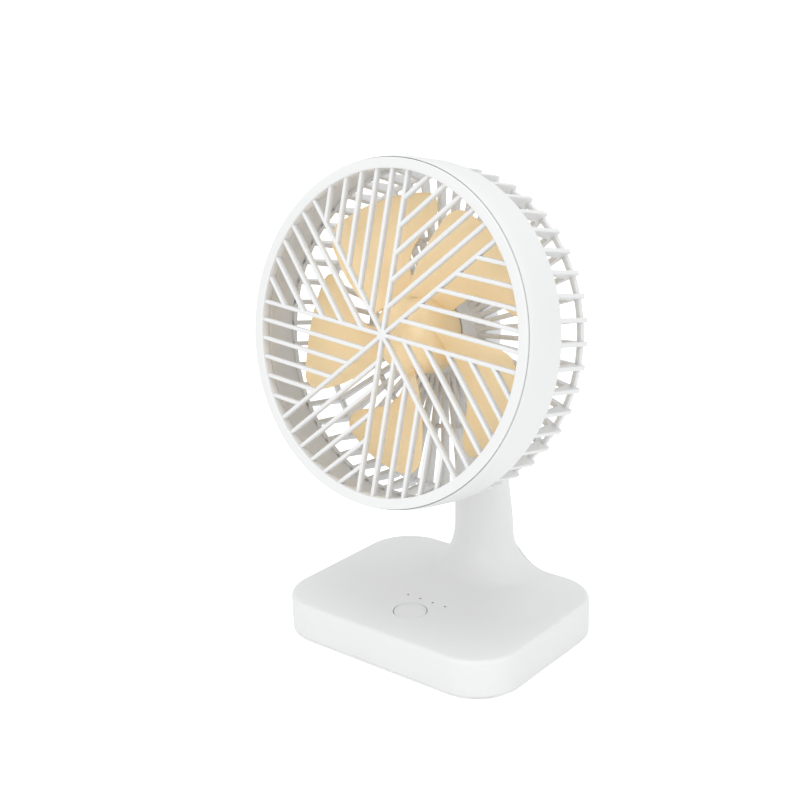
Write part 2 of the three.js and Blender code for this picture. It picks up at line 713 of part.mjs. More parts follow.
// One blade: a thin sheet with a rounded tip, deep at its leading edge and shallow at its trailing edge.
function blade(middle) {
  const CHORD = 4;
  const TIP_ROUND = 8;
  const ring = (share) => {
    const inner = HUB_R - 1.5;
    const radius = inner + (BLADE_R - inner) * share;
    const nearTip = Math.max(0, (radius - BLADE_R + TIP_ROUND) / TIP_ROUND);
    const trim = (TIP_ROUND * (1 - Math.sqrt(1 - nearTip ** 2))) / radius;
    const [leading, trailing] = bladeEdges(share);
    const slope = 8.8 - 1.5 * share;
    const points = [];
    for (const face of [1, -1]) {
      for (let i = 0; i <= CHORD; i += 1) {
        const c = face > 0 ? -1 + (2 * i) / CHORD : 1 - (2 * i) / CHORD;
        const from = leading + trim;
        const a = middle + from + ((trailing - trim - from) * (c + 1)) / 2;
        const depth = BLADE_MID - c * slope + 1.8 * (1 - c * c) + (face * BLADE_THICK) / 2;
        points.push(new THREE.Vector3(radius * Math.cos(a), depth, radius * Math.sin(a)));
      }
    }
    return points;
  };
  return loft([0, 0.3, 0.5, 0.7, 0.86, 0.96, 1].map(ring));
}

const hub = turned(
  [
    [0, HUB_FRONT],
    [9, HUB_FRONT + 0.7],
    [16.4, HUB_FRONT + 3.4],
    [21, HUB_FRONT + 8.6],
    [HUB_R, HUB_FRONT + 14],
    [HUB_R, HUB_BACK],
    [HUB_R - 2, HUB_BACK],
    [HUB_R - 2, HUB_FRONT + 14],
    [HUB_R - 5, HUB_FRONT + 8],
    [6.5, HUB_FRONT + 5],
    [6.5, HUB_BACK - 2],
    [3.3, HUB_BACK - 2],
    [3.3, HUB_FRONT + 4],
    [0, HUB_FRONT + 4],
  ],
  30,
);
const blades = Array.from({ length: BLADE_COUNT }, (_, i) =>
  blade(BLADE_START + (i * 2 * Math.PI) / BLADE_COUNT),
);
const hubHollow = turned(
  [
    [6.5, HUB_FRONT + 5],
    [HUB_R - 5, HUB_FRONT + 8],
    [HUB_R - 2, HUB_FRONT + 14],
    [HUB_R - 2, HUB_BACK + 3],
    [6.5, HUB_BACK + 3],
  ],
  30,
);
addMesh(rotor, "impeller", hub.add(cut(join(blades), [hubHollow])), PEACH);
addMesh(rotor, "hub_bush", tube(3, 1.7, HUB_FRONT + 5, HUB_BACK - 2.4, 12), BRONZE);
addMesh(rotor, "motor_shaft", disc(1.5, HUB_FRONT + 6, CAN_BACK - 0.6, 12), STEEL);

// ---------------------------------------------------------------- whole fan
const fan = new THREE.Group();
fan.add(base, control, head);

export default fan;
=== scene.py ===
"""Cordless desk fan: a slab base with a flared neck, a tilting ring-shaped head and a peach impeller.

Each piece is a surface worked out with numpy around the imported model. Lengths inside the shape
functions are millimetres; the mesh maker turns them into metres. The head has a frame of its own:
its origin is the middle of the front ring's face, its depth runs back along the fan's axis, and its
up leans with the head.
"""
import json

import bmesh
import bpy
import numpy as np
from mathutils import Matrix, Vector


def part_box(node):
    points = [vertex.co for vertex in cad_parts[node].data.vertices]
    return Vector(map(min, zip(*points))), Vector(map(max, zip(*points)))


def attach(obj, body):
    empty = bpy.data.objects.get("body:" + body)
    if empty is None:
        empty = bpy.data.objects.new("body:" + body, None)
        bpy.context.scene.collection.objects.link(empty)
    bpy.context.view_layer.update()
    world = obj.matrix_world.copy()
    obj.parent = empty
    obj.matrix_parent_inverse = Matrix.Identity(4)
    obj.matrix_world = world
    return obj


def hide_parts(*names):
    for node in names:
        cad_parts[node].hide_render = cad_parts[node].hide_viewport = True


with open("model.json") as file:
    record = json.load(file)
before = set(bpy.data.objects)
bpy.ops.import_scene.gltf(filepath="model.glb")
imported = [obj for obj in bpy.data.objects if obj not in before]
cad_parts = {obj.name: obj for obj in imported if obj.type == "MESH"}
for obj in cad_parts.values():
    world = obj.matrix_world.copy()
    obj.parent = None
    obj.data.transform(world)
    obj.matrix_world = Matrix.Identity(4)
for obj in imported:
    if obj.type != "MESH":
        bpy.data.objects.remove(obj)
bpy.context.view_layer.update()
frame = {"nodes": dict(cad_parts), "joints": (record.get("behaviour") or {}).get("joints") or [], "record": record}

bl_info = {
    "name": "Desk Fan",
    "version": (1, 0, 0),
    "blender": (4, 5, 0),
    "location": "3D View > Sidebar > Desk Fan",
    "description": "Builds a cordless desk fan around its packed model, one operator per piece",
    "category": "Object",
}

MM = 1000.0
RAD = np.pi / 180


def node_box(name):
    """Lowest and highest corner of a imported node, in millimetres."""
    low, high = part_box(name)
    return np.array(low) * MM, np.array(high) * MM


def width_of(name, axis=0):
    """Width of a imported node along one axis, in metres."""
    low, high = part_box(name)
    return float(high[axis] - low[axis])


def middle_of(name, axis=1):
    """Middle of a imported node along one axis, in millimetres."""
    return float(np.mean([corner[axis] for corner in node_box(name)]))


# ------------------------------------------------------------------ settings
def length(name, text, default):
    """A size in metres that the panel shows in the scene's own unit."""
    return bpy.props.FloatProperty(
        name=name, description=text, default=default, min=0, max=1,
        precision=4, unit="LENGTH", subtype="DISTANCE",
    )


def paint(name, text, default):
    """A colour of one finish."""
    return bpy.props.FloatVectorProperty(
        name=name, description=text, default=default, size=3, min=0, max=1, subtype="COLOR",
    )


class FanBaseSizes(bpy.types.PropertyGroup):
    """Sizes of the slab, the neck and the button."""

    width: length("Width", "Width of the slab", width_of("base_shell", 0))
    depth: length("Depth", "Depth of the slab", width_of("base_shell", 1))
    corner: length("Corner", "Radius of the slab's corners, seen from above", 0.027)
    top: length("Top", "Height of the slab's rim above the table", 0.0225)
    rim: length("Rim", "Radius of the rounding along the slab's rim", 0.0025)
    dish: length("Dish", "How far the top sinks between the rim and the neck", 0.0011)
    neck_width: length("Neck width", "Width of the neck where its flare ends", 0.0378)
    neck_depth: length("Neck depth", "Depth of the neck where its flare ends", 0.026)
    flare_run: length("Flare run", "How far the neck's flare reaches over the slab", 0.024)
    flare_rise: length("Flare rise", "Height of the neck's flare above the slab", 0.033)
    button: length("Button", "Diameter of the push button", width_of("power_button", 0))
    light: length("Light", "Diameter of one charge light", 0.0015)


class FanHeadSizes(bpy.types.PropertyGroup):
    """Sizes of the head and the impeller."""

    ring: length("Ring", "Outer radius of the front ring", 0.090)
    ring_inner: length("Ring opening", "Radius of the front ring's opening", 0.0844)
    bar: length("Bar", "Width of one bar of the grille", 0.0022)
    bar_pitch: length("Bar pitch", "Distance from one bar to the next", 0.0099)
    rib: length("Rib", "Thickness of one rib of the rear cage", 0.0024)
    ribs: bpy.props.IntProperty(
        name="Ribs", description="Number of ribs round the rear cage", default=46, min=12, max=90,
    )
    blade: length("Blade", "Radius that the impeller's blades reach", 0.074)
    blades: bpy.props.IntProperty(
        name="Blades", description="Number of blades on the impeller", default=5, min=2, max=12,
    )
    hub: length("Hub", "Radius of the impeller's hub", 0.022)


class FanColours(bpy.types.PropertyGroup):
    """Colours of the fan's finishes, as linear values."""

    shell: paint("Casing", "White moulded plastic of the base and head", (0.745, 0.753, 0.755))
    under: paint("Underside", "Plastic of the underside cover", (0.66, 0.66, 0.66))
    peach: paint("Impeller", "Peach plastic of the impeller", (1.0, 0.78, 0.47))
    rubber: paint("Feet", "Rubber of the feet", (0.30, 0.30, 0.29))
    screw: paint("Screws", "Nickel plating of the screws and pins", (0.62, 0.62, 0.63))
    plate: paint("Plate", "Zinc plating of the motor can and ballast", (0.55, 0.56, 0.58))
    board: paint("Boards", "Solder mask of the circuit boards", (0.012, 0.10, 0.035))
    light: paint("Lights", "Smoked plastic of the charge lights", (0.05, 0.05, 0.055))


class FanStage(bpy.types.PropertyGroup):
    """Light and floor."""

    sky: bpy.props.FloatProperty(
        name="Sky", description="Strength of the even light from all round", default=0.90, min=0, max=5,
    )
    key: bpy.props.FloatProperty(
        name="Key light", description="Power of the large lamp above the fan", default=4.4,
        min=0, max=500, unit="POWER",
    )
    front: bpy.props.FloatProperty(
        name="Front light", description="Power of the lamp in front of the fan", default=2.1,
        min=0, max=500, unit="POWER",
    )
    side: bpy.props.FloatProperty(
        name="Side light", description="Power of the lamp to the fan's right", default=2.0,
        min=0, max=500, unit="POWER",
    )


# ------------------------------------------------------------------ shapes
def softened(outline, radius, steps=5):
    """Each corner of a closed outline becomes a short quadratic curve that leaves and meets its two
    sides at the given distance from the corner."""
    corner = np.asarray(outline, float)
    reach = np.broadcast_to(np.asarray(radius, float), (len(corner),))[:, None]
    back = np.roll(corner, 1, 0) - corner
    ahead = np.roll(corner, -1, 0) - corner
    back_length = np.linalg.norm(back, axis=1, keepdims=True)
    ahead_length = np.linalg.norm(ahead, axis=1, keepdims=True)
    start = corner + back / back_length * np.minimum(reach, 0.48 * back_length)
    end = corner + ahead / ahead_length * np.minimum(reach, 0.48 * ahead_length)
    t = np.linspace(0, 1, steps)[None, :, None]
    curve = (1 - t) ** 2 * start[:, None] + 2 * t * (1 - t) * corner[:, None] + t**2 * end[:, None]
    return curve.reshape(-1, 2)


def turned(outline, count):
    """A closed outline of (radius, height) turned about the height axis: the point at angle a is
    (radius cos a, radius sin a, height)."""
    radius, height = np.asarray(outline, float).T
    angle = np.linspace(0, 2 * np.pi, count, endpoint=False)
    return np.stack(
        [
            radius[:, None] * np.cos(angle),
            radius[:, None] * np.sin(angle),
            np.broadcast_to(height[:, None], (len(radius), count)),
        ],
        -1,
    )


def capped(grid):
    """A row of points at each end of a grid, all at the middle of the end's own row, closes it."""
    ends = [np.broadcast_to(grid[i].mean(0), grid[i].shape) for i in (0, -1)]
    return np.concatenate([ends[0][None], grid, ends[1][None]])


def skin(grid, around_rows=False):
    """Four-sided faces between the neighbours of a grid whose rows close on themselves, and whose
    last row may join its first."""
    rows, columns = grid.shape[:2]
    index = np.arange(rows * columns).reshape(rows, columns)
    index = np.concatenate([index, index[:, :1]], 1)
    if around_rows:
        index = np.concatenate([index, index[:1]])
    faces = np.stack([index[:-1, :-1], index[:-1, 1:], index[1:, 1:], index[1:, :-1]], -1)
    return grid.reshape(-1, 3), faces.reshape(-1, 4)


def ring_of(outline, count):
    """A closed outline of (radius, height) turned into a closed surface."""
    return skin(turned(outline, count), around_rows=True)


def moved(shell, place):
    """A surface carried to its place by a function of its points."""
    points, faces = shell
    return place(points), faces


def rectangle(low, high):
    """The four corners of a rectangle, in order."""
    (x0, y0), (x1, y1) = low, high
    return [(x0, y0), (x1, y0), (x1, y1), (x0, y1)]


def on_head(points):
    """Head coordinates (side, up, depth) to the fan's: depth and up turn by the head's tilt about
    the middle of the front ring's face."""
    side, up, depth = points[..., 0], points[..., 1], points[..., 2]
    c, s = np.cos(HEAD_TILT), np.sin(HEAD_TILT)
    return np.stack([side, HEAD_Y + depth * c + up * s, HEAD_Z - depth * s + up * c], -1)


def on_hinge(points):
    """A piece turned about its height axis, laid along the hinge pin."""
    return np.stack(
        [points[..., 2], HINGE_Y + points[..., 0], HINGE_Z + points[..., 1]], -1
    )


def standing(x, y):
    """Stands a piece that is turned about its height axis at a spot of the base."""
    return lambda points: points + np.array([x, y, 0.0])


def hanging(x, y):
    """Hangs such a piece upside down at a spot of the base."""
    return lambda points: points * [1, 1, -1] + [x, y, 0]


def along_head(x, up):
    """Lays such a piece along the head's axis, at a spot of the housing."""
    return lambda points: on_head(points + [x, up, 0])


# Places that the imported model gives, in millimetres.
HINGE_PIN = np.array(next(j for j in frame["joints"] if j["name"] == "head_tilt")["pos_m"]) * MM
HINGE_Y, HINGE_Z = HINGE_PIN[1:]
SPIN = next(j for j in frame["joints"] if j["name"] == "fan_spin")
HEAD_Y, HEAD_Z = np.array(SPIN["pos_m"][1:]) * MM
HEAD_TILT = float(np.arctan(-SPIN["axis"][2] / SPIN["axis"][1]))
BASE_MIDDLE_Y = middle_of("base_shell")
BUTTON_Y = middle_of("power_button")
LIGHT_Y = middle_of("light_guide")

# Sizes of the base, in millimetres.
FOOT_LIFT = 1.0  # gap under the slab's wall, taken up by the feet
FLARE_POWER = 2.6  # power of the superellipse that the neck's flare follows
DISH_START = 17.0  # the top's dish begins this far from the neck
NECK_Y = 46.2  # middle of the neck's foot
KNUCKLE_R, KNUCKLE_HALF = 10.5, 14.0  # round top of the neck and half its width
SLOT_HALF = 6.3  # half the width of the slot for the head's tongue
PIN_BORE_R = 2.6  # bore of the tilt pin
LIGHT_COUNT, LIGHT_PITCH = 4, 8.85
LIGHT_X = (np.arange(LIGHT_COUNT) - (LIGHT_COUNT - 1) / 2) * LIGHT_PITCH
SOCKET_Z = 11.0  # height of the charging socket

# Sizes of the head, in millimetres. A depth is measured back from the front ring's face.
DRUM_DEPTH, DRUM_BACK_R = 28.7, 91.3
CAGE_R, CAGE_BACK = 89.3, 57.3
POD_R, POD_FRONT, POD_BACK = 26.5, 57.6, 75.6
HUB_FRONT, HUB_BACK = 14.0, 41.0
BLADE_DEPTH, BLADE_THICK = 26.3, 1.5
BLADE_START = 114 * RAD
SPOKES, BARS_PER_SPOKE = 8, 5
SPOKE_TURN = -4.7 * RAD
SCREW_RING = 15.0
SCREW_ANGLES = np.array([90, 210, 330]) * RAD


# ------------------------------------------------------------------ mesh making
def make_mesh(name, shells, sharp=38):
    """One mesh from closed shells: doubles at seams and poles are merged, faces turned outwards, and
    edges sharper than the given angle kept crisp."""
    starts = np.cumsum([0] + [len(points) for points, _ in shells])
    points = np.concatenate([p for p, _ in shells]) / MM
    faces = np.concatenate([f + start for (_, f), start in zip(shells, starts)])
    mesh = bpy.data.meshes.new(name)
    mesh.vertices.add(len(points))
    mesh.vertices.foreach_set("co", points.astype(np.float32).ravel())
    mesh.loops.add(faces.size)
    mesh.loops.foreach_set("vertex_index", faces.astype(np.int32).ravel())
    mesh.polygons.add(len(faces))
    mesh.polygons.foreach_set("loop_start", np.arange(0, faces.size, 4, dtype=np.int32))
    mesh.update(calc_edges=True)
    body = bmesh.new()
    body.from_mesh(mesh)
    bmesh.ops.remove_doubles(body, verts=body.verts, dist=1e-6)
    bmesh.ops.recalc_face_normals(body, faces=body.faces)
    body.to_mesh(mesh)
    body.free()
    smooth(mesh, sharp)
    return mesh


def smooth(mesh, sharp):
    """Smooth shading with the edges sharper than the given angle, in degrees, kept crisp."""
    mesh.shade_smooth()
    mesh.set_sharp_from_angle(angle=sharp * RAD)


def make_piece(name, shells, finish, body, slot, *nodes, sharp=38):
    """A named object at the origin with its finish, body and the nodes it stands for. The slot is not used."""
    old = bpy.data.objects.get(name)
    if old is not None:
        bpy.data.objects.remove(old)
    piece = bpy.data.objects.new(name, make_mesh(name, shells, sharp))
    bpy.context.scene.collection.objects.link(piece)
    piece.data.materials.append(finish)
    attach(piece, body)
    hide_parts(*nodes)
    return piece


def carve(piece, cutters, sharp=38, operation="DIFFERENCE"):
    """Cuts lists of shells out of a piece, or joins them to it, one list after another."""
    for shells in cutters:
        tool = bpy.data.objects.new("tool", make_mesh("tool", shells))
        bpy.context.scene.collection.objects.link(tool)
        step = piece.modifiers.new("carve", "BOOLEAN")
        step.operation, step.solver, step.object = operation, "EXACT", tool
        graph = bpy.context.evaluated_depsgraph_get()
        made = bpy.data.meshes.new_from_object(piece.evaluated_get(graph))
        piece.modifiers.clear()
        old, piece.data = piece.data, made
        bpy.data.meshes.remove(old)
        bpy.data.objects.remove(tool)
    if not len(piece.data.polygons):
        raise RuntimeError(f"{piece.name} came out empty")
    piece.data.name = piece.name
    smooth(piece.data, sharp)


# ------------------------------------------------------------------ finishes
def new_group(name, inputs, outputs):
    """A shader node group with its sockets; returns the group, its input and its output node."""
    group = bpy.data.node_groups.new(name, "ShaderNodeTree")
    for title, kind, default in inputs:
        socket = group.interface.new_socket(title, in_out="INPUT", socket_type=kind)
        if default is not None:
            socket.default_value = default
    for title, kind in outputs:
        group.interface.new_socket(title, in_out="OUTPUT", socket_type=kind)
    return group, group.nodes.new("NodeGroupInput"), group.nodes.new("NodeGroupOutput")


def noise(tree, vector, scale, detail=3.0, rough=0.5, scale_from=None):
    """A noise pattern, whose scale may come from a socket."""
    node = tree.nodes.new("ShaderNodeTexNoise")
    node.inputs["Scale"].default_value = scale
    node.inputs["Detail"].default_value = detail
    node.inputs["Roughness"].default_value = rough
    tree.links.new(vector, node.inputs["Vector"])
    if scale_from is not None:
        tree.links.new(scale_from, node.inputs["Scale"])
    return node.outputs["Fac"]


def ranged(tree, value, low, high, to_low, to_high):
    """A value between two limits, carried over to two others."""
    node = tree.nodes.new("ShaderNodeMapRange")
    tree.links.new(value, node.inputs["Value"])
    for title, number in zip(("From Min", "From Max", "To Min", "To Max"), (low, high, to_low, to_high)):
        if isinstance(number, (int, float)):
            node.inputs[title].default_value = number
        else:
            tree.links.new(number, node.inputs[title])
    return node.outputs["Result"]


def maths(tree, operation, a, b):
    """One operation on two values, each a number or a socket."""
    node = tree.nodes.new("ShaderNodeMath")
    node.operation = operation
    for socket, value in zip(node.inputs, (a, b)):
        if isinstance(value, (int, float)):
            socket.default_value = value
        else:
            tree.links.new(value, socket)
    return node.outputs[0]


def blend(tree, first, second, share):
    """Two values added in shares that make up one."""
    rest = maths(tree, "MULTIPLY", first, 1 - share)
    return maths(tree, "ADD", rest, maths(tree, "MULTIPLY", second, share))


def tinted(tree, colour, value):
    """A colour made lighter or darker by a value."""
    node = tree.nodes.new("ShaderNodeMix")
    node.data_type, node.blend_type = "RGBA", "MULTIPLY"
    node.inputs["Factor"].default_value = 1.0
    tree.links.new(colour, node.inputs["A"])
    tree.links.new(value, node.inputs["B"])
    return node.outputs["Result"]


def moulded_grain():
    """Fine spark-eroded texture of a mould, slow drift of tone, and a gloss that varies with it."""
    group, given, made = new_group(
        "Moulded grain",
        [
            ("Vector", "NodeSocketVector", None),
            ("Colour", "NodeSocketColor", (0.8, 0.8, 0.8, 1)),
            ("Drift", "NodeSocketFloat", 0.02),
            ("Grain Scale", "NodeSocketFloat", 2600.0),
            ("Roughness Low", "NodeSocketFloat", 0.36),
            ("Roughness High", "NodeSocketFloat", 0.46),
        ],
        [("Colour", "NodeSocketColor"), ("Roughness", "NodeSocketFloat"), ("Height", "NodeSocketFloat")],
    )
    vector = given.outputs["Vector"]
    slow = noise(group, vector, 22.0, 2.0)
    fleck = noise(group, vector, 420.0, 2.0, 0.6)
    grain = noise(group, vector, 2600.0, 2.0, 0.5, given.outputs["Grain Scale"])
    less = maths(group, "SUBTRACT", 1.0, given.outputs["Drift"])
    tone = ranged(group, blend(group, slow, fleck, 0.3), 0.35, 0.65, less, 1.0)
    rough_low, rough_high = given.outputs["Roughness Low"], given.outputs["Roughness High"]
    rough = ranged(group, blend(group, slow, grain, 0.5), 0.35, 0.65, rough_low, rough_high)
    group.links.new(tinted(group, given.outputs["Colour"], tone), made.inputs["Colour"])
    group.links.new(rough, made.inputs["Roughness"])
    group.links.new(grain, made.inputs["Height"])
    return group


def drawn_metal():
    """Fine lines along one direction with dull and bright streaks, and small pits."""
    group, given, made = new_group(
        "Drawn metal",
        [
            ("Vector", "NodeSocketVector", None),
            ("Colour", "NodeSocketColor", (0.6, 0.6, 0.6, 1)),
            ("Roughness Low", "NodeSocketFloat", 0.22),
            ("Roughness High", "NodeSocketFloat", 0.42),
        ],
        [("Colour", "NodeSocketColor"), ("Roughness", "NodeSocketFloat"), ("Height", "NodeSocketFloat")],
    )
    stretch = group.nodes.new("ShaderNodeVectorMath")
    stretch.operation = "MULTIPLY"
    stretch.inputs[1].default_value = (60.0, 1400.0, 1400.0)
    group.links.new(given.outputs["Vector"], stretch.inputs[0])
    lines = noise(group, stretch.outputs[0], 1.0, 4.0, 0.6)
    pits = noise(group, given.outputs["Vector"], 900.0, 2.0)
    tone = ranged(group, lines, 0.3, 0.7, 0.82, 1.0)
    rough_low, rough_high = given.outputs["Roughness Low"], given.outputs["Roughness High"]
    rough = ranged(group, lines, 0.3, 0.7, rough_low, rough_high)
    relief = maths(group, "ADD", lines, maths(group, "MULTIPLY", pits, 0.4))
    group.links.new(tinted(group, given.outputs["Colour"], tone), made.inputs["Colour"])
    group.links.new(rough, made.inputs["Roughness"])
    group.links.new(relief, made.inputs["Height"])
    return group


GROUPS = {}


def shared(maker):
    """The node group of that maker, built once."""
    if maker not in GROUPS:
        GROUPS[maker] = maker()
    return GROUPS[maker]


def finish_from(name, maker, colour, values, bump, distance, **sockets):
    """A material whose colour, roughness and bump come from a shared group with its own values.
    Further sockets of the shader hold plain numbers."""
    material = bpy.data.materials.get(name) or bpy.data.materials.new(name)
    material.use_nodes = True
    tree = material.node_tree
    tree.nodes.clear()
    out = tree.nodes.new("ShaderNodeOutputMaterial")
    shader = tree.nodes.new("ShaderNodeBsdfPrincipled")
    place = tree.nodes.new("ShaderNodeTexCoord")
    effect = tree.nodes.new("ShaderNodeGroup")
    effect.node_tree = shared(maker)
    effect.inputs["Colour"].default_value = (*colour, 1)
    for title, value in values.items():
        effect.inputs[title].default_value = value
    tree.links.new(place.outputs["Object"], effect.inputs["Vector"])
    tree.links.new(effect.outputs["Colour"], shader.inputs["Base Color"])
    tree.links.new(effect.outputs["Roughness"], shader.inputs["Roughness"])
    raised = tree.nodes.new("ShaderNodeBump")
    raised.inputs["Strength"].default_value = bump
    raised.inputs["Distance"].default_value = distance
    tree.links.new(effect.outputs["Height"], raised.inputs["Height"])
    tree.links.new(raised.outputs["Normal"], shader.inputs["Normal"])
    for title, value in sockets.items():
        shader.inputs[title.replace("_", " ")].default_value = value
    tree.links.new(shader.outputs["BSDF"], out.inputs["Surface"])
    return material


def plastic(name, colour, low, high, drift=0.02, scale=2600.0, bump=0.12, **sockets):
    """Moulded plastic or rubber, whose roughness varies between two values."""
    values = {"Drift": drift, "Grain Scale": scale, "Roughness Low": low, "Roughness High": high}
    return finish_from(name, moulded_grain, colour, values, bump, 0.00004, **sockets)


def metal(name, colour, low, high, bump=0.15):
    """Bare or plated metal, whose roughness varies between two values."""
    values = {"Roughness Low": low, "Roughness High": high}
    return finish_from(name, drawn_metal, colour, values, bump, 0.00003, Metallic=1.0)


def circuit_board(name, colour):
    """Solder mask with lighter traces under it: the edges of a small cell pattern, and a fine grain."""
    material = plastic(name, colour, 0.28, 0.4, 0.1, 1500.0)
    tree = material.node_tree
    place = next(n for n in tree.nodes if n.type == "TEX_COORD")
    effect = next(n for n in tree.nodes if n.type == "GROUP")
    shader = next(n for n in tree.nodes if n.type == "BSDF_PRINCIPLED")
    cells = tree.nodes.new("ShaderNodeTexVoronoi")
    cells.feature, cells.distance = "F1", "CHEBYCHEV"
    cells.inputs["Scale"].default_value = 320.0
    tree.links.new(place.outputs["Object"], cells.inputs["Vector"])
    mix = tree.nodes.new("ShaderNodeMix")
    mix.data_type = "RGBA"
    mix.inputs["B"].default_value = (*[min(1.0, c * 2.2 + 0.01) for c in colour], 1)
    tree.links.new(ranged(tree, cells.outputs["Distance"], 0.30, 0.34, 0.0, 1.0), mix.inputs["Factor"])
    tree.links.new(effect.outputs["Colour"], mix.inputs["A"])
    tree.links.new(mix.outputs["Result"], shader.inputs["Base Color"])
    return material


def finishes():
    """All the fan's finishes by name, made once and then found again."""
    if "Base white" in bpy.data.materials:
        return {m.name: m for m in bpy.data.materials}
    colour = bpy.context.scene.fan_colours
    plastic("Base white", colour.shell, 0.34, 0.46, 0.015)
    plastic("Head white", colour.shell, 0.30, 0.42, 0.012)
    plastic("Underside white", colour.under, 0.50, 0.64, 0.05, 1600.0, 0.3)
    plastic("Impeller peach", colour.peach, 0.30, 0.42, 0.02, 2200.0, Subsurface_Weight=0.08,
            Subsurface_Radius=(0.004, 0.002, 0.001))
    plastic("Foot rubber", colour.rubber, 0.72, 0.88, 0.12, 1200.0, 0.35)
    plastic("Charge light", colour.light, 0.10, 0.18, 0.1, 1800.0, 0.05, Coat_Weight=0.6)
    plastic("Black plastic", (0.018, 0.018, 0.02), 0.38, 0.52, 0.15, 1600.0, 0.2)
    plastic("Red wire", (0.42, 0.03, 0.02), 0.32, 0.45, 0.08, 900.0, 0.1)
    plastic("Cell wrap", (0.38, 0.42, 0.46), 0.22, 0.38, 0.12, 500.0, 0.25, Coat_Weight=0.3)
    metal("Nickel screw", colour.screw, 0.18, 0.34)
    metal("Zinc plate", colour.plate, 0.30, 0.50, 0.25)
    metal("Sintered bronze", (0.44, 0.27, 0.12), 0.42, 0.62, 0.35)
    circuit_board("Circuit board", colour.board)
    return {m.name: m for m in bpy.data.materials}


SLOT_FINISH = {
    "white_abs": "Base white",
    "white_abs_underside": "Underside white",
    "rubber": "Foot rubber",
    "screw_steel": "Nickel screw",
    "plated_steel": "Zinc plate",
    "cell_sleeve": "Cell wrap",
    "board_green": "Circuit board",
    "black_plastic": "Black plastic",
    "red_wire": "Red wire",
    "light_guide": "Charge light",
    "bronze": "Sintered bronze",
    "peach_abs": "Impeller peach",
}


# ------------------------------------------------------------------ base
def slab_outline(size, stations=360):
    """The slab's rounded rectangle seen from the neck: for each direction from the neck's axis, the
    distance to a rectangle whose corners are quarter circles, found on a fine trace of it."""
    half = np.array([size.width, size.depth]) * MM / 2
    corner = size.corner * MM
    sweep = np.linspace(0, 2 * np.pi, 1600, endpoint=False).reshape(4, 400)
    centre = (half - corner) * np.array([[1, 1], [-1, 1], [-1, -1], [1, -1]])
    trace = centre[:, None] + corner * np.stack([np.cos(sweep), np.sin(sweep)], -1)
    trace = trace.reshape(-1, 2)
    step = np.linalg.norm(np.roll(trace, -1, 0) - trace, axis=1)
    run = np.concatenate([[0], np.cumsum(step)])
    closed = np.vstack([trace, trace[:1]])
    # Even steps along the edge, which a sine wave draws together at the middle of the rear wall.
    total = run[-1]
    rear, pull = total / 4, 9.0
    spot = np.linspace(0, 1, stations, endpoint=False) * total
    from_rear = spot - rear
    wave = np.sin(4 * np.pi * from_rear / total) * (np.abs(from_rear) < total / 4)
    spot = np.sort((spot - pull * wave) % total)
    x = np.interp(spot, run, closed[:, 0])
    y = np.interp(spot, run, closed[:, 1]) + BASE_MIDDLE_Y - NECK_Y
    return np.hypot(x, y), np.arctan2(y, x)


def base_grid(size):
    """The slab, its flare and the neck as one skin. Each column goes up the wall, over the rounded
    rim, in over the dished top along a line to the neck's axis, up the flare, a quarter of a
    superellipse, and on up the leaning neck. Each row runs once round."""
    reach, angle = slab_outline(size)
    a, b = size.neck_width * MM / 2, size.neck_depth * MM / 2
    neck = 1 / np.hypot(np.cos(angle) / a, np.sin(angle) / b)
    span = np.maximum(reach - neck, 0.3)
    edge = np.minimum(size.rim * MM, 0.4 * span)
    top, run, rise = size.top * MM, size.flare_run * MM, size.flare_rise * MM

    def flare(distance):
        left = np.clip(1 - distance / run, 0, 1) ** FLARE_POWER
        return rise * (1 - (1 - left) ** (1 / FLARE_POWER))

    def dish(distance):
        far = reach - neck
        s = np.clip((distance - DISH_START) / np.maximum(far - DISH_START, 1e-6), 0, 1)
        return size.dish * MM * np.sin(np.pi * s) ** 2 * np.clip(far / DISH_START - 2, 0, 1)

    wall_top = top + flare(span - edge)
    wall_foot = FOOT_LIFT + 4.0
    radius, height = [], []
    # The rows are given by how far they draw in from the wall and how high they lie.
    for drawn_in, lift in ((6.0, 0.0), (1.4, 0.0), (0.6, 0.2), (0.15, 0.7), (0.0, 1.5), (0.0, 4.0)):
        radius.append(neck + span - np.minimum(drawn_in, 0.5 * span))
        height.append(np.full_like(neck, FOOT_LIFT + lift))
    for s in (0.35, 0.7):
        radius.append(neck + span)
        height.append(wall_foot + (wall_top - edge - wall_foot) * s)
    for turn in np.linspace(0, 90, 9) * RAD:
        radius.append(neck + span - edge * (1 - np.cos(turn)))
        height.append(wall_top - edge * (1 - np.sin(turn)))
    for part in np.linspace(1, 0, 60)[1:] ** 1.5:
        distance = (span - edge) * part
        radius.append(neck + distance)
        height.append(top + flare(distance) - dish(distance))
    slab = np.stack(
        [np.array(radius) * np.cos(angle), NECK_Y + np.array(radius) * np.sin(angle), np.array(height)],
        -1,
    )
    foot = top + rise
    z = np.linspace(foot, HINGE_Z, 25)[1:, None]
    s = (z - foot) / (HINGE_Z - foot)
    width = a + (KNUCKLE_HALF - a) * s
    depth = b + (KNUCKLE_R - b) * s
    middle = NECK_Y + (HINGE_Y - NECK_Y) * s**1.3
    side, away = width * np.cos(angle), middle + depth * np.sin(angle)
    neck_rows = np.stack([side, away, np.broadcast_to(z, side.shape)], -1)
    return capped(np.concatenate([slab, neck_rows]))


def block(low, high, edge=0.3):
    """A block between two corners: its rounded outline seen from above, carried straight up."""
    return upright(softened(rectangle(low[:2], high[:2]), edge, 6), low[2], high[2])


def upright(outline, low, high):
    """An outline seen from above, carried straight up from one height to another."""
    rows = [np.column_stack([outline, np.full(len(outline), z)]) for z in (low, high)]
    return skin(capped(np.array(rows)))


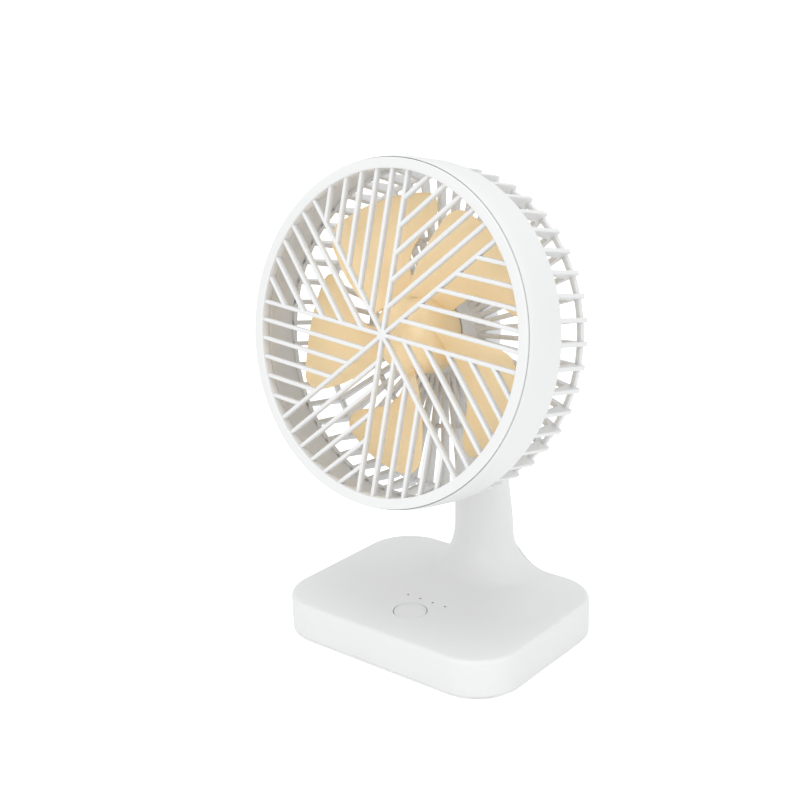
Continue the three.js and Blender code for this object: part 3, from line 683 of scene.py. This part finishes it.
def lying(outline, low, high):
    """An outline of (side, up), carried straight back from one y to another."""
    rows = [
        np.column_stack([outline[:, 0], np.full(len(outline), y), outline[:, 1]]) for y in (low, high)
    ]
    return skin(capped(np.array(rows)))


def peg(radius, low, high, count=64):
    """A plain round peg about the height axis."""
    return ring_of([(0, low), (radius, low), (radius, high), (0, high)], count)


class FAN_OT_base_shell(bpy.types.Operator):
    """Slab base with its flared neck and the fork that holds the head"""

    bl_idname = "fan.base_shell"
    bl_label = "Base casing"

    def execute(self, context):
        size = context.scene.fan_base
        top = size.top * MM
        knuckle = softened(
            rectangle((0, -KNUCKLE_HALF), (KNUCKLE_R, KNUCKLE_HALF)), [0, 1.8, 1.8, 0], 7,
        )
        shell = make_piece(
            "base_shell_fine", [skin(base_grid(size))], finishes()["Base white"],
            "base", "white_abs", "base_shell",
        )
        carve(shell, [[moved(ring_of(knuckle, 96), on_hinge)]], operation="UNION")

        slot_floor = HINGE_Z - KNUCKLE_R - 2
        slot = block(
            (-SLOT_HALF, HINGE_Y - 30, slot_floor), (SLOT_HALF, HINGE_Y + 30, HINGE_Z + 30), 0.01,
        )
        bore = size.button * MM / 2 + 0.35
        bore_outline = [
            (0, 8), (bore, 8), (bore, top - 1.45), (bore + 0.5, top - 0.6), (bore + 0.5, 30), (0, 30),
        ]
        button_bore = moved(ring_of(bore_outline, 128), standing(0, BUTTON_Y))
        light_bore = peg(size.light * MM / 2, 12, 30, 24)
        light_bores = [moved(light_bore, standing(x, LIGHT_Y)) for x in LIGHT_X]

        low, high = node_box("bottom_cover")
        gap, wall, roof = 0.6, 3.2, 2.4
        edge = rectangle(low[:2] - gap, high[:2] + gap)
        hollow = upright(
            softened(edge, size.corner * MM - wall, 24), -4.0, top - roof - size.dish * MM,
        )
        pin_bore = moved(peg(PIN_BORE_R, -40, 40, 32), on_hinge)

        rear = node_box("base_shell")[1][1]
        mouth = softened(rectangle((-4.8, -2.0), (4.8, 2.0)), 1.9, 8) + [0, SOCKET_Z]
        socket_mouth = lying(mouth, rear - 8.0, rear + 5.0)
        recess = softened(rectangle((0, 12.2), (7.3, 30)), 0, 2)
        cap_recesses = [moved(ring_of(recess * [1, side], 64), on_hinge) for side in (1, -1)]
        carve(
            shell,
            [[slot, button_bore, *light_bores], [hollow, pin_bore], [*cap_recesses, socket_mouth]], 32,
        )
        return {"FINISHED"}


class FAN_OT_underside(bpy.types.Operator):
    """Rubber feet and the charging socket"""

    bl_idname = "fan.underside"
    bl_label = "Feet and socket"

    def execute(self, context):
        for i in range(1, 5):
            low, high = node_box(f"foot_{i}")
            x, y = (low[:2] + high[:2]) / 2
            outline = softened(
                [(0, 0.15), (4.4, 0.15), (4.6, 0), (6, 0), (6, high[2]), (0, high[2])],
                [0, 0.1, 0.2, 0.6, 0.05, 0], 5,
            )
            make_piece(
                f"foot_pad_{i}", [moved(ring_of(outline, 64), standing(x, y))],
                finishes()["Foot rubber"], "base", "rubber", f"foot_{i}",
            )
        low, high = node_box("usb_socket")
        wide, tall = (high[0] - low[0]) / 2, (high[2] - low[2]) / 2
        # The sleeve's outside, its rolled mouth and its inside, each row drawn in by some way.
        back, front, lip = low[1], high[1], high[1] - 0.15
        rows = []
        for inset, y in (
            (0, back), (0, lip), (0.12, front), (0.3, front), (0.42, lip), (0.42, back + 0.8),
        ):
            w, h = wide - inset, tall - inset
            edge = softened(rectangle((-w, -h), (w, h)), h * 0.98, 9)
            rows.append(np.column_stack([edge[:, 0], np.full(len(edge), y), SOCKET_Z + edge[:, 1]]))
        tongue = block((-3.2, low[1] + 0.4, SOCKET_Z - 0.35), (3.2, high[1] - 1.2, SOCKET_Z + 0.35), 0.3)
        make_piece(
            "charging_socket", [skin(capped(np.array(rows))), tongue], finishes()["Nickel screw"],
            "base", "plated_steel", "usb_socket",
        )
        return {"FINISHED"}


class FAN_OT_controls(bpy.types.Operator):
    """Push button with its shallow dished cap, and the row of charge lights"""

    bl_idname = "fan.controls"
    bl_label = "Button and lights"

    def execute(self, context):
        low, high = node_box("power_button")
        radius, top = (high[0] - low[0]) / 2, high[2]
        dish_r, dish_deep = radius - 1.0, 0.28
        skirt, inside, stem_r = top - 4.4, top - 2.6, 2
        out = np.linspace(0, 1, 12)
        crown = np.column_stack([dish_r * out, top - dish_deep * (1 - out**2)])[:-1]
        side = softened(
            [(dish_r, top), (radius, top - 0.35), (radius, skirt), (radius - 1.4, skirt),
             (radius - 1.4, inside), (stem_r, inside), (stem_r, low[2]), (0, low[2])],
            [0.5, 0.5, 0.3, 0.2, 0.2, 0.2, 0.2, 0], 5,
        )
        cap = np.vstack([crown, side])
        make_piece(
            "button_cap", [moved(ring_of(cap, 128), standing(0, BUTTON_Y))], finishes()["Base white"],
            "button", "white_abs", "power_button",
        )
        low, high = node_box("light_guide")
        lens = 0.58
        dome = np.linspace(0, np.pi / 2, 6)
        pin = np.vstack([
            [(0, low[2] + 0.6), (lens, low[2] + 0.6)],
            np.column_stack([lens * np.cos(dome), high[2] - lens * 0.5 + lens * 0.5 * np.sin(dome)]),
        ])
        bar = block((low[0], low[1], low[2]), (high[0], high[1], low[2] + 1.2), 0.3)
        make_piece(
            "charge_lights", [bar] + [moved(ring_of(pin, 24), standing(x, LIGHT_Y)) for x in LIGHT_X],
            finishes()["Charge light"], "base", "light_guide", "light_guide",
        )
        return {"FINISHED"}


class FAN_OT_hinge(bpy.types.Operator):
    """Caps and friction washers of the tilt hinge"""

    bl_idname = "fan.hinge"
    bl_label = "Tilt hinge"

    def execute(self, context):
        dome = np.linspace(0, 1, 8)
        face = np.column_stack([6.2 * dome, KNUCKLE_HALF - 0.25 * dome**2])[:-1]
        edge = softened([(6.2, 13.75), (6.9, 13.55), (6.9, 12.6), (0, 12.6)], [0.2, 0.3, 0.1, 0], 4)
        disc = softened(rectangle((2.8, 5.5), (8.5, 6.1)), 0.12, 3)
        for side, word in ((-1, "left"), (1, "right")):
            cap = np.vstack([face, edge]) * [1, side]
            make_piece(
                f"hinge_cover_{word}", [moved(ring_of(cap, 72), on_hinge)], finishes()["Base white"],
                "base", "white_abs", f"hinge_cap_{word}",
            )
            make_piece(
                f"washer_{word}", [moved(ring_of(disc * [1, side], 72), on_hinge)],
                finishes()["Black plastic"], "base", "black_plastic", f"friction_washer_{word}",
            )
        return {"FINISHED"}


# ------------------------------------------------------------------ head
class FAN_OT_drum(bpy.types.Operator):
    """Outer band of the head, behind the front ring"""

    bl_idname = "fan.drum"
    bl_label = "Drum"

    def execute(self, context):
        ring = context.scene.fan_head.ring * MM
        outline = softened(
            [(ring + 0.3, 1.2), (DRUM_BACK_R, 6), (DRUM_BACK_R, DRUM_DEPTH),
             (DRUM_BACK_R - 3, DRUM_DEPTH), (ring - 2.6, 9), (ring - 5.2, 8.4), (ring - 5.2, 6.2),
             (ring + 0.3, 5.2)],
            [0.35, 5.0, 0.9, 0.4, 1.0, 0.3, 0.3, 0.2], 9,
        )
        make_piece(
            "drum_band", [moved(ring_of(outline, 256), on_head)], finishes()["Head white"],
            "head", "white_abs", "drum", sharp=50,
        )
        return {"FINISHED"}


def bar_between(start, end, half, front, deep):
    """A straight bar in the grille's plane: its rounded section, across the run and along the fan's
    axis, is carried from start to end."""
    section = softened(
        rectangle((-half, front), (half, front + deep)), [half * 0.95, half * 0.95, 0.3, 0.3], 5,
    )
    start, end = np.array(start), np.array(end)
    along = (end - start) / np.linalg.norm(end - start)
    side = np.array([-along[1], along[0]])
    rows = []
    for t in np.linspace(0, 1, 3):
        middle = start + (end - start) * t
        rows.append(np.column_stack([middle + section[:, :1] * side, section[:, 1]]))
    return skin(capped(np.array(rows)))


class FAN_OT_grille(bpy.types.Operator):
    """Front ring with eight spokes and the bars that run off each of them"""

    bl_idname = "fan.grille"
    bl_label = "Front grille"

    def execute(self, context):
        size = context.scene.fan_head
        ring, opening, pitch = size.ring * MM, size.ring_inner * MM, size.bar_pitch * MM
        half, front, deep = size.bar * MM / 2, 1.1, 3.2
        shells = []
        for k in range(SPOKES):
            angle = k * 2 * np.pi / SPOKES + SPOKE_TURN
            along = np.array([np.cos(angle), np.sin(angle)])
            left = np.array([-along[1], along[0]])
            for n in range(BARS_PER_SPOKE + 1):
                offset = n * pitch
                start = along * (offset if n else 1.0) + left * offset
                end = along * np.sqrt((opening + 1.6) ** 2 - offset**2) + left * offset
                shells.append(bar_between(start, end, half, front, deep))
        band = softened(
            [(opening, 0), (ring, 0), (ring, 4.6), (opening, 5.6)], [0.9, 0.6, 0.3, 0.3], 7,
        )
        boss = softened([(0, 0.85), (3.0, 1.0), (3.0, 4.4), (0, 4.4)], [0, 1.0, 0.3, 0], 6)
        shells += [ring_of(band, 256), ring_of(boss, 48)]
        make_piece(
            "grille_front", [moved(s, on_head) for s in shells], finishes()["Head white"],
            "head", "white_abs", "front_grille", sharp=50,
        )
        return {"FINISHED"}


def bent(start, leave, corner, meet, end):
    """A line that runs straight, turns along a quadratic curve and runs straight again."""
    start, leave, corner, meet, end = np.array([start, leave, corner, meet, end], float)
    t = np.linspace(0, 1, 9)[:, None]
    turn = np.linspace(0, 1, 7)[:, None]
    curve = (1 - turn) ** 2 * leave + 2 * turn * (1 - turn) * corner + turn**2 * meet
    return np.vstack([(1 - t) * start + t * leave, curve[1:], ((1 - t) * meet + t * end)[1:]])


def cage_rib(angle, thick):
    """One rib: from the hub flange out along the back, round a small corner and forward to the drum.
    Its rounded section spans the inner and the outer line of that path, and its thickness goes round
    the head."""
    root_r, corner, back, front = 22.0, 1.6, CAGE_BACK, DRUM_DEPTH + 0.3
    outer = bent(
        (root_r, back), (CAGE_R - corner, back), (CAGE_R, back), (CAGE_R, back - corner), (CAGE_R, front),
    )
    inner = bent(
        (root_r, back - 4), (82.4, back - 5.4), (82.9, back - 5.5), (83.1, back - 6.3), (86.9, front),
    )
    section = softened(rectangle((0, -1), (1, 1)), [0.1, 0.16, 0.16, 0.1], 4)
    line = inner[:, None] + (outer - inner)[:, None] * section[None, :, :1]
    across = np.broadcast_to(section[:, 1] * thick / 2, line.shape[:2])
    radius, depth = line[..., 0], line[..., 1]
    side = radius * np.cos(angle) - across * np.sin(angle)
    up = radius * np.sin(angle) + across * np.cos(angle)
    return skin(capped(np.stack([side, up, depth], -1)))


class FAN_OT_cage(bpy.types.Operator):
    """Rear cage: its ribs, three rings and the cup that holds the motor"""

    bl_idname = "fan.cage"
    bl_label = "Rear cage"

    def execute(self, context):
        size = context.scene.fan_head
        shells = [
            cage_rib(np.pi / 2 + 2 * np.pi * i / size.ribs, size.rib * MM) for i in range(size.ribs)
        ]
        rings = [
            rectangle((84.0, CAGE_BACK - 3.2), (86.7, CAGE_BACK)),
            rectangle((50.6, CAGE_BACK - 3.0), (53.0, CAGE_BACK)),
            [(86.9, DRUM_DEPTH + 0.3), (CAGE_R, DRUM_DEPTH + 0.3), (CAGE_R, 31), (86.7, 31)],
        ]
        shells += [ring_of(softened(r, 0.5, 4), 184) for r in rings]
        cup = softened(
            [(19.6, 43), (21.6, 43), (21.8, 52), (24.6, CAGE_BACK), (7.8, CAGE_BACK),
             (7.8, CAGE_BACK - 2), (19.6, CAGE_BACK - 2)],
            [0.5, 0.8, 2.0, 0.5, 0.3, 0.3, 0.3], 6,
        )
        flange = softened(
            [(20.5, 53.3), (24.2, 53.3), (27, 54.4), (27, CAGE_BACK), (20.5, CAGE_BACK)], 0.5, 4,
        )
        shells += [ring_of(cup, 138), ring_of(flange, 138)]
        make_piece(
            "cage_rear", [moved(s, on_head) for s in shells], finishes()["Head white"],
            "head", "white_abs", "rear_cage", sharp=50,
        )
        return {"FINISHED"}


def tongue():
    """The tongue between housing and tilt pin, in head coordinates: two circles, one round the pin and
    one inside the housing, with each direction taken from the circle that reaches further that way.
    The outline is carried across the head, and its edges draw in at both sides."""
    pin_r, root_r = 9.4, 8.0
    dy, dz = HINGE_Y - HEAD_Y, HINGE_Z - HEAD_Z
    c, s = np.cos(HEAD_TILT), np.sin(HEAD_TILT)
    pin = np.array([dy * c - dz * s, dy * s + dz * c])
    root = np.array([POD_FRONT + 9.5, -14.0])
    angle = np.linspace(0, 2 * np.pi, 96, endpoint=False)
    way = np.column_stack([np.cos(angle), np.sin(angle)])
    nearer_pin = (way @ (pin - root) + (pin_r - root_r) > 0)[:, None]
    rows = []
    for across, inset in ((-5.2, 1.0), (-5.0, 0.45), (-4.5, 0), (4.5, 0), (5.0, 0.45), (5.2, 1.0)):
        line = np.where(nearer_pin, pin + way * (pin_r - inset), root + way * (root_r - inset))
        rows.append(np.column_stack([np.full(len(line), across), line[:, 1], line[:, 0]]))
    return skin(capped(np.array(rows)))


class FAN_OT_housing(bpy.types.Operator):
    """Motor housing behind the cage with its tongue, and the small cap in its middle"""

    bl_idname = "fan.housing"
    bl_label = "Motor housing"

    def execute(self, context):
        wall_r, seat_r, hole_r = POD_R - 2.2, 10.4, 3
        seat, inside = POD_BACK - 1.8, POD_BACK - 5
        shell = softened(
            [(wall_r, POD_FRONT), (POD_R, POD_FRONT), (POD_R, POD_BACK), (seat_r, POD_BACK),
             (seat_r, seat), (hole_r, seat), (hole_r, inside), (wall_r, inside)],
            [0.3, 0.4, 7.5, 0.3, 0.2, 0.2, 0.2, 2.0], 14,
        )
        piece = make_piece(
            "housing_shell", [moved(ring_of(shell, 128), on_head)], finishes()["Head white"],
            "head", "white_abs", "motor_housing",
        )
        carve(piece, [[moved(tongue(), on_head)]], 32, "UNION")
        hole = [(0, POD_BACK - 9), (1.7, POD_BACK - 9), (1.7, POD_BACK - 2.6), (3, POD_BACK - 2.6),
                (3, POD_BACK + 3), (0, POD_BACK + 3)]
        holes = [
            moved(ring_of(hole, 40), along_head(SCREW_RING * np.cos(angle), SCREW_RING * np.sin(angle)))
            for angle in SCREW_ANGLES
        ]
        carve(piece, [holes, [moved(peg(PIN_BORE_R, -20, 20, 32), on_hinge)]], 32)
        dome = np.linspace(0, 1, 9)
        cap_r, dome_r, stud_r = 10, 9.4, 2.7
        face = np.column_stack([dome_r * dome, POD_BACK + 0.9 - 0.4 * dome**2])[:-1]
        edge = softened(
            [(dome_r, POD_BACK + 0.5), (cap_r, POD_BACK + 0.1), (cap_r, POD_BACK - 1.5),
             (stud_r, POD_BACK - 1.5), (stud_r, POD_BACK - 4), (0, POD_BACK - 4)],
            [0.3, 0.3, 0.2, 0.1, 0.3, 0], 5,
        )
        make_piece(
            "housing_badge", [moved(ring_of(np.vstack([face, edge]), 96), on_head)],
            finishes()["Base white"], "head", "white_abs", "housing_cap",
        )
        return {"FINISHED"}


def screw_shell(head_r, shank_r, top, head_deep, tip):
    """A screw about the height axis with its head towards higher values: a low domed head, then a
    shank whose radius goes up and down for its thread, and a narrow tip."""
    dome = np.linspace(0, 1, 7)
    flat_r, shoulder, under = head_r - 0.3, top - 0.25 * head_deep, top - head_deep
    face = np.column_stack([flat_r * dome, top - 0.25 * head_deep * dome**2])[:-1]
    edge = softened([(flat_r, shoulder), (head_r, top - 0.5 * head_deep), (head_r, under)],
                    [0.1, 0.2, 0.0], 3)
    ripple = shank_r * (0.9 + 0.1 * np.cos(np.arange(40) * np.pi))
    thread = np.column_stack([ripple, np.linspace(under - 0.2, tip + 0.8, 40)])
    return ring_of(np.vstack([face, edge, thread, [(0.3 * shank_r, tip), (0, tip)]]), 32)


class FAN_OT_screws(bpy.types.Operator):
    """Cross-head screws of the underside cover and the motor housing"""

    bl_idname = "fan.screws"
    bl_label = "Screws"

    def execute(self, context):
        for i in range(1, 5):
            name = f"base_screw_{i}"
            low, high = node_box(name)
            x, y = (low[:2] + high[:2]) / 2
            screw = screw_shell(2.9, 1.5, -low[2], 0.8, -high[2])
            self.add(name, screw, "base", hanging(x, y), -low[2])
        face = POD_BACK - 0.8
        for i, angle in enumerate(SCREW_ANGLES, 1):
            screw = screw_shell(2.7, 1.3, face, 1.4, CAGE_BACK - 1.6)
            spot = along_head(SCREW_RING * np.cos(angle), SCREW_RING * np.sin(angle))
            self.add(f"housing_screw_{i}", screw, "head", spot, face)
        return {"FINISHED"}

    def add(self, node, shell, body, place, top):
        """The screw at its place, with a cross of two short slots cut into its head."""
        piece = make_piece(
            node + "_fine", [moved(shell, place)], finishes()["Nickel screw"],
            body, "screw_steel", node,
        )
        long, thin, deep = 1.5, 0.28, 0.6
        for half in ((long, thin), (thin, long)):
            slot = block((-half[0], -half[1], top - deep), (*half, top + 1), 0.12)
            carve(piece, [[moved(slot, place)]], 32)


# ------------------------------------------------------------------ impeller
def blade_grid(size, middle):
    """One blade. Each row is a thin lens at one radius, from the leading edge, which sweeps forward
    to a broad tip by a smooth step, to the trailing edge, which draws in evenly. The lens is deep at
    its leading edge, shallow at its trailing edge and bows back between them. Circles round the
    corners of the tip, and the lens thins to nothing over the last rows."""
    root, tip = size.hub * MM - 1.5, size.blade * MM
    corner, thick = 8.0, BLADE_THICK
    share = np.sin(np.linspace(0, np.pi / 2, 48))[:, None]
    radius = root + (tip - root) * share
    near_tip = np.clip((radius - tip + corner) / corner, 0, 1)
    trim = corner * (1 - np.sqrt(1 - near_tip**2)) / radius
    sweep = np.clip((share - 0.25) / 0.6, 0, 1)
    leading = (-4.5 - 23 * (3 * sweep**2 - 2 * sweep**3)) * RAD + trim
    trailing = (44 - 17 * share) * RAD - trim
    thin = np.sqrt(1 - np.clip((radius - tip + thick / 2) / (thick / 2), 0, 1) ** 2)
    way = np.linspace(0, 2 * np.pi, 64, endpoint=False)[None]
    c, lens = np.cos(way), np.sign(np.sin(way)) * np.abs(np.sin(way)) ** 0.45
    angle = middle + leading + (trailing - leading) * (c + 1) / 2
    depth = BLADE_DEPTH - c * (8.8 - 1.5 * share) + 1.8 * (1 - c**2) + thin * lens * thick / 2
    return np.stack([radius * np.cos(angle), radius * np.sin(angle), depth], -1)


class FAN_OT_impeller(bpy.types.Operator):
    """Hub and blades that blow the air forward"""

    bl_idname = "fan.impeller"
    bl_label = "Impeller"

    def execute(self, context):
        size = context.scene.fan_head
        hub = size.hub * MM
        shells = [
            skin(blade_grid(size, BLADE_START + 2 * np.pi * i / size.blades)) for i in range(size.blades)
        ]
        turn = np.linspace(0, np.pi / 2, 20)
        nose_deep, boss_r, bore_r = 14, 6.5, 3.3
        nose = np.column_stack([
            hub * np.sin(turn) ** 0.9,
            HUB_FRONT + nose_deep * (1 - np.cos(turn) ** 0.9),
        ])
        wall = np.array([
            (hub, HUB_BACK - 0.4), (hub - 0.4, HUB_BACK), (hub - 2, HUB_BACK),
            (hub - 2, HUB_FRONT + nose_deep), (hub - 5, HUB_FRONT + 8), (boss_r, HUB_FRONT + 5),
            (boss_r, HUB_BACK - 2), (bore_r, HUB_BACK - 2), (bore_r, HUB_FRONT + 4), (0, HUB_FRONT + 4),
        ])
        shells.append(ring_of(np.vstack([nose, wall]), 128))
        make_piece(
            "impeller_fine", [moved(s, on_head) for s in shells], finishes()["Impeller peach"],
            "rotor", "peach_abs", "impeller", sharp=50,
        )
        return {"FINISHED"}


# ------------------------------------------------------------------ remaining nodes
class FAN_OT_inner_parts(bpy.types.Operator):
    """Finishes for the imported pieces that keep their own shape"""

    bl_idname = "fan.inner_parts"
    bl_label = "Inner parts"

    def execute(self, context):
        slots = {row["node"]: row["material_slot"] for row in frame["record"]["subparts"]}
        for name, node in frame["nodes"].items():
            if name not in slots:
                raise RuntimeError(f"{name} has no material slot")
            node.data.materials.clear()
            node.data.materials.append(finishes()[SLOT_FINISH[slots[name]]])
        return {"FINISHED"}


# ------------------------------------------------------------------ stage
class FAN_OT_stage(bpy.types.Operator):
    """Pale floor, soft lamps and the camera"""

    bl_idname = "fan.stage"
    bl_label = "Stage"

    def execute(self, context):
        scene = context.scene
        values = scene.fan_stage
        scene.view_settings.view_transform = "Standard"
        self.lay_floor(scene)
        self.hang_sky(scene, values.sky)
        self.hang_lamp(scene, "Key lamp", (0.1, -0.2, 1.4), 0.15, 0.9, values.key)
        self.hang_lamp(scene, "Front lamp", (0.1, -1.2, 0.4), 0.12, 0.5, values.front)
        self.hang_lamp(scene, "Side lamp", (1.3, -0.1, 0.5), 0.12, 0.8, values.side)
        self.place_camera(scene)
        return {"FINISHED"}

    def camera_only(self, tree, usual, seen):
        """A value that is one number for the camera's rays and another for the rest."""
        ray = tree.nodes.new("ShaderNodeLightPath")
        choice = tree.nodes.new("ShaderNodeMapRange")
        choice.inputs["To Min"].default_value = usual
        choice.inputs["To Max"].default_value = seen
        tree.links.new(ray.outputs["Is Camera Ray"], choice.inputs["Value"])
        return choice.outputs["Result"]

    def lay_floor(self, scene):
        """A round floor of rings about the fan, closed at its middle."""
        radius = np.array([0.0, 0.3, 1.0, 4.0, 12.0])[:, None]
        sweep = np.linspace(0, 2 * np.pi, 64, endpoint=False)
        side, away = radius * np.cos(sweep), radius * np.sin(sweep)
        points, faces = skin(np.stack([side, away, np.zeros_like(side)], -1))
        mesh = bpy.data.meshes.new("floor")
        mesh.from_pydata(points.tolist(), [], faces.tolist())
        body = bmesh.new()
        body.from_mesh(mesh)
        bmesh.ops.remove_doubles(body, verts=body.verts, dist=1e-5)
        body.to_mesh(mesh)
        body.free()
        floor = bpy.data.objects.new("floor", mesh)
        scene.collection.objects.link(floor)
        pale = bpy.data.materials.new("Pale floor")
        pale.use_nodes = True
        shader = pale.node_tree.nodes["Principled BSDF"]
        shader.inputs["Base Color"].default_value = (0.93, 0.93, 0.93, 1)
        shader.inputs["Roughness"].default_value = 0.9
        shader.inputs["Specular IOR Level"].default_value = 0.0
        shader.inputs["Emission Color"].default_value = (1, 1, 1, 1)
        glow = self.camera_only(pale.node_tree, 0.05, 0.42)
        pale.node_tree.links.new(glow, shader.inputs["Emission Strength"])
        mesh.materials.append(pale)

    def hang_sky(self, scene, strength):
        """Even white light, with a white backdrop for the camera."""
        world = bpy.data.worlds.new("Studio")
        world.use_nodes = True
        sky = world.node_tree.nodes["Background"]
        sky.inputs["Color"].default_value = (1, 1, 1, 1)
        level = self.camera_only(world.node_tree, strength, 1.05)
        world.node_tree.links.new(level, sky.inputs["Strength"])
        scene.world = world

    def hang_lamp(self, scene, name, spot, height, wide, power):
        """A square lamp at a spot, turned to a point above the fan's middle."""
        lamp = bpy.data.lights.new(name, "AREA")
        lamp.size, lamp.energy = wide, power
        holder = bpy.data.objects.new(name, lamp)
        holder.location = spot
        way = Vector((0, 0, height)) - Vector(spot)
        holder.rotation_euler = way.to_track_quat("-Z", "Y").to_euler()
        scene.collection.objects.link(holder)

    def place_camera(self, scene):
        """A camera on a sphere round a point in the fan, turned a little about its own axis, and
        shifted to one side and up in its own plane."""
        azimuth, elevation, roll = 39.78 * RAD, 17.67 * RAD, -1.92 * RAD
        target = np.array([0, 0.0013, 0.131])
        distance, aside, above = 0.71352, -0.01882, 0.00669
        back = np.array([
            np.sin(azimuth) * np.cos(elevation), -np.cos(azimuth) * np.cos(elevation), np.sin(elevation),
        ])
        right = np.array([np.cos(azimuth), np.sin(azimuth), 0])
        up = np.cross(back, right)
        side = right * np.cos(roll) + up * np.sin(roll)
        top = up * np.cos(roll) - right * np.sin(roll)
        camera = bpy.data.cameras.new("Camera")
        camera.lens, camera.sensor_width = 58.5, 36.0
        camera.clip_start, camera.clip_end = 0.01, 60
        holder = bpy.data.objects.new("Camera", camera)
        turn = np.eye(4)
        turn[:3, :3] = np.column_stack([side, top, back])
        turn[:3, 3] = target + distance * back + aside * side + above * top
        holder.matrix_world = Matrix(turn.tolist())
        scene.collection.objects.link(holder)
        scene.camera = holder


STEPS = (
    FAN_OT_stage, FAN_OT_inner_parts, FAN_OT_base_shell, FAN_OT_underside, FAN_OT_controls, FAN_OT_hinge,
    FAN_OT_drum, FAN_OT_grille, FAN_OT_cage, FAN_OT_housing, FAN_OT_screws, FAN_OT_impeller,
)


class FAN_PT_panel(bpy.types.Panel):
    """Lists the fan's pieces"""

    bl_idname = "FAN_PT_panel"
    bl_label = "Desk Fan"
    bl_space_type = "VIEW_3D"
    bl_region_type = "UI"
    bl_category = "Desk Fan"

    def draw(self, context):
        for group in ("fan_base", "fan_head", "fan_colours", "fan_stage"):
            holder = getattr(context.scene, group)
            column = self.layout.column(align=True)
            for name in holder.__annotations__:
                column.prop(holder, name)
        for step in STEPS:
            self.layout.operator(step.bl_idname)


SETTINGS = {
    "fan_base": FanBaseSizes,
    "fan_head": FanHeadSizes,
    "fan_colours": FanColours,
    "fan_stage": FanStage,
}


def register():
    for group in (*SETTINGS.values(), *STEPS, FAN_PT_panel):
        bpy.utils.register_class(group)
    for name, group in SETTINGS.items():
        setattr(bpy.types.Scene, name, bpy.props.PointerProperty(type=group))


def unregister():
    for name in SETTINGS:
        delattr(bpy.types.Scene, name)
    for group in (FAN_PT_panel, *reversed(STEPS), *SETTINGS.values()):
        bpy.utils.unregister_class(group)


def main():
    register()
    for step in STEPS:
        family, name = step.bl_idname.split(".")
        getattr(getattr(bpy.ops, family), name)()


if __name__ == "__main__":
    main()
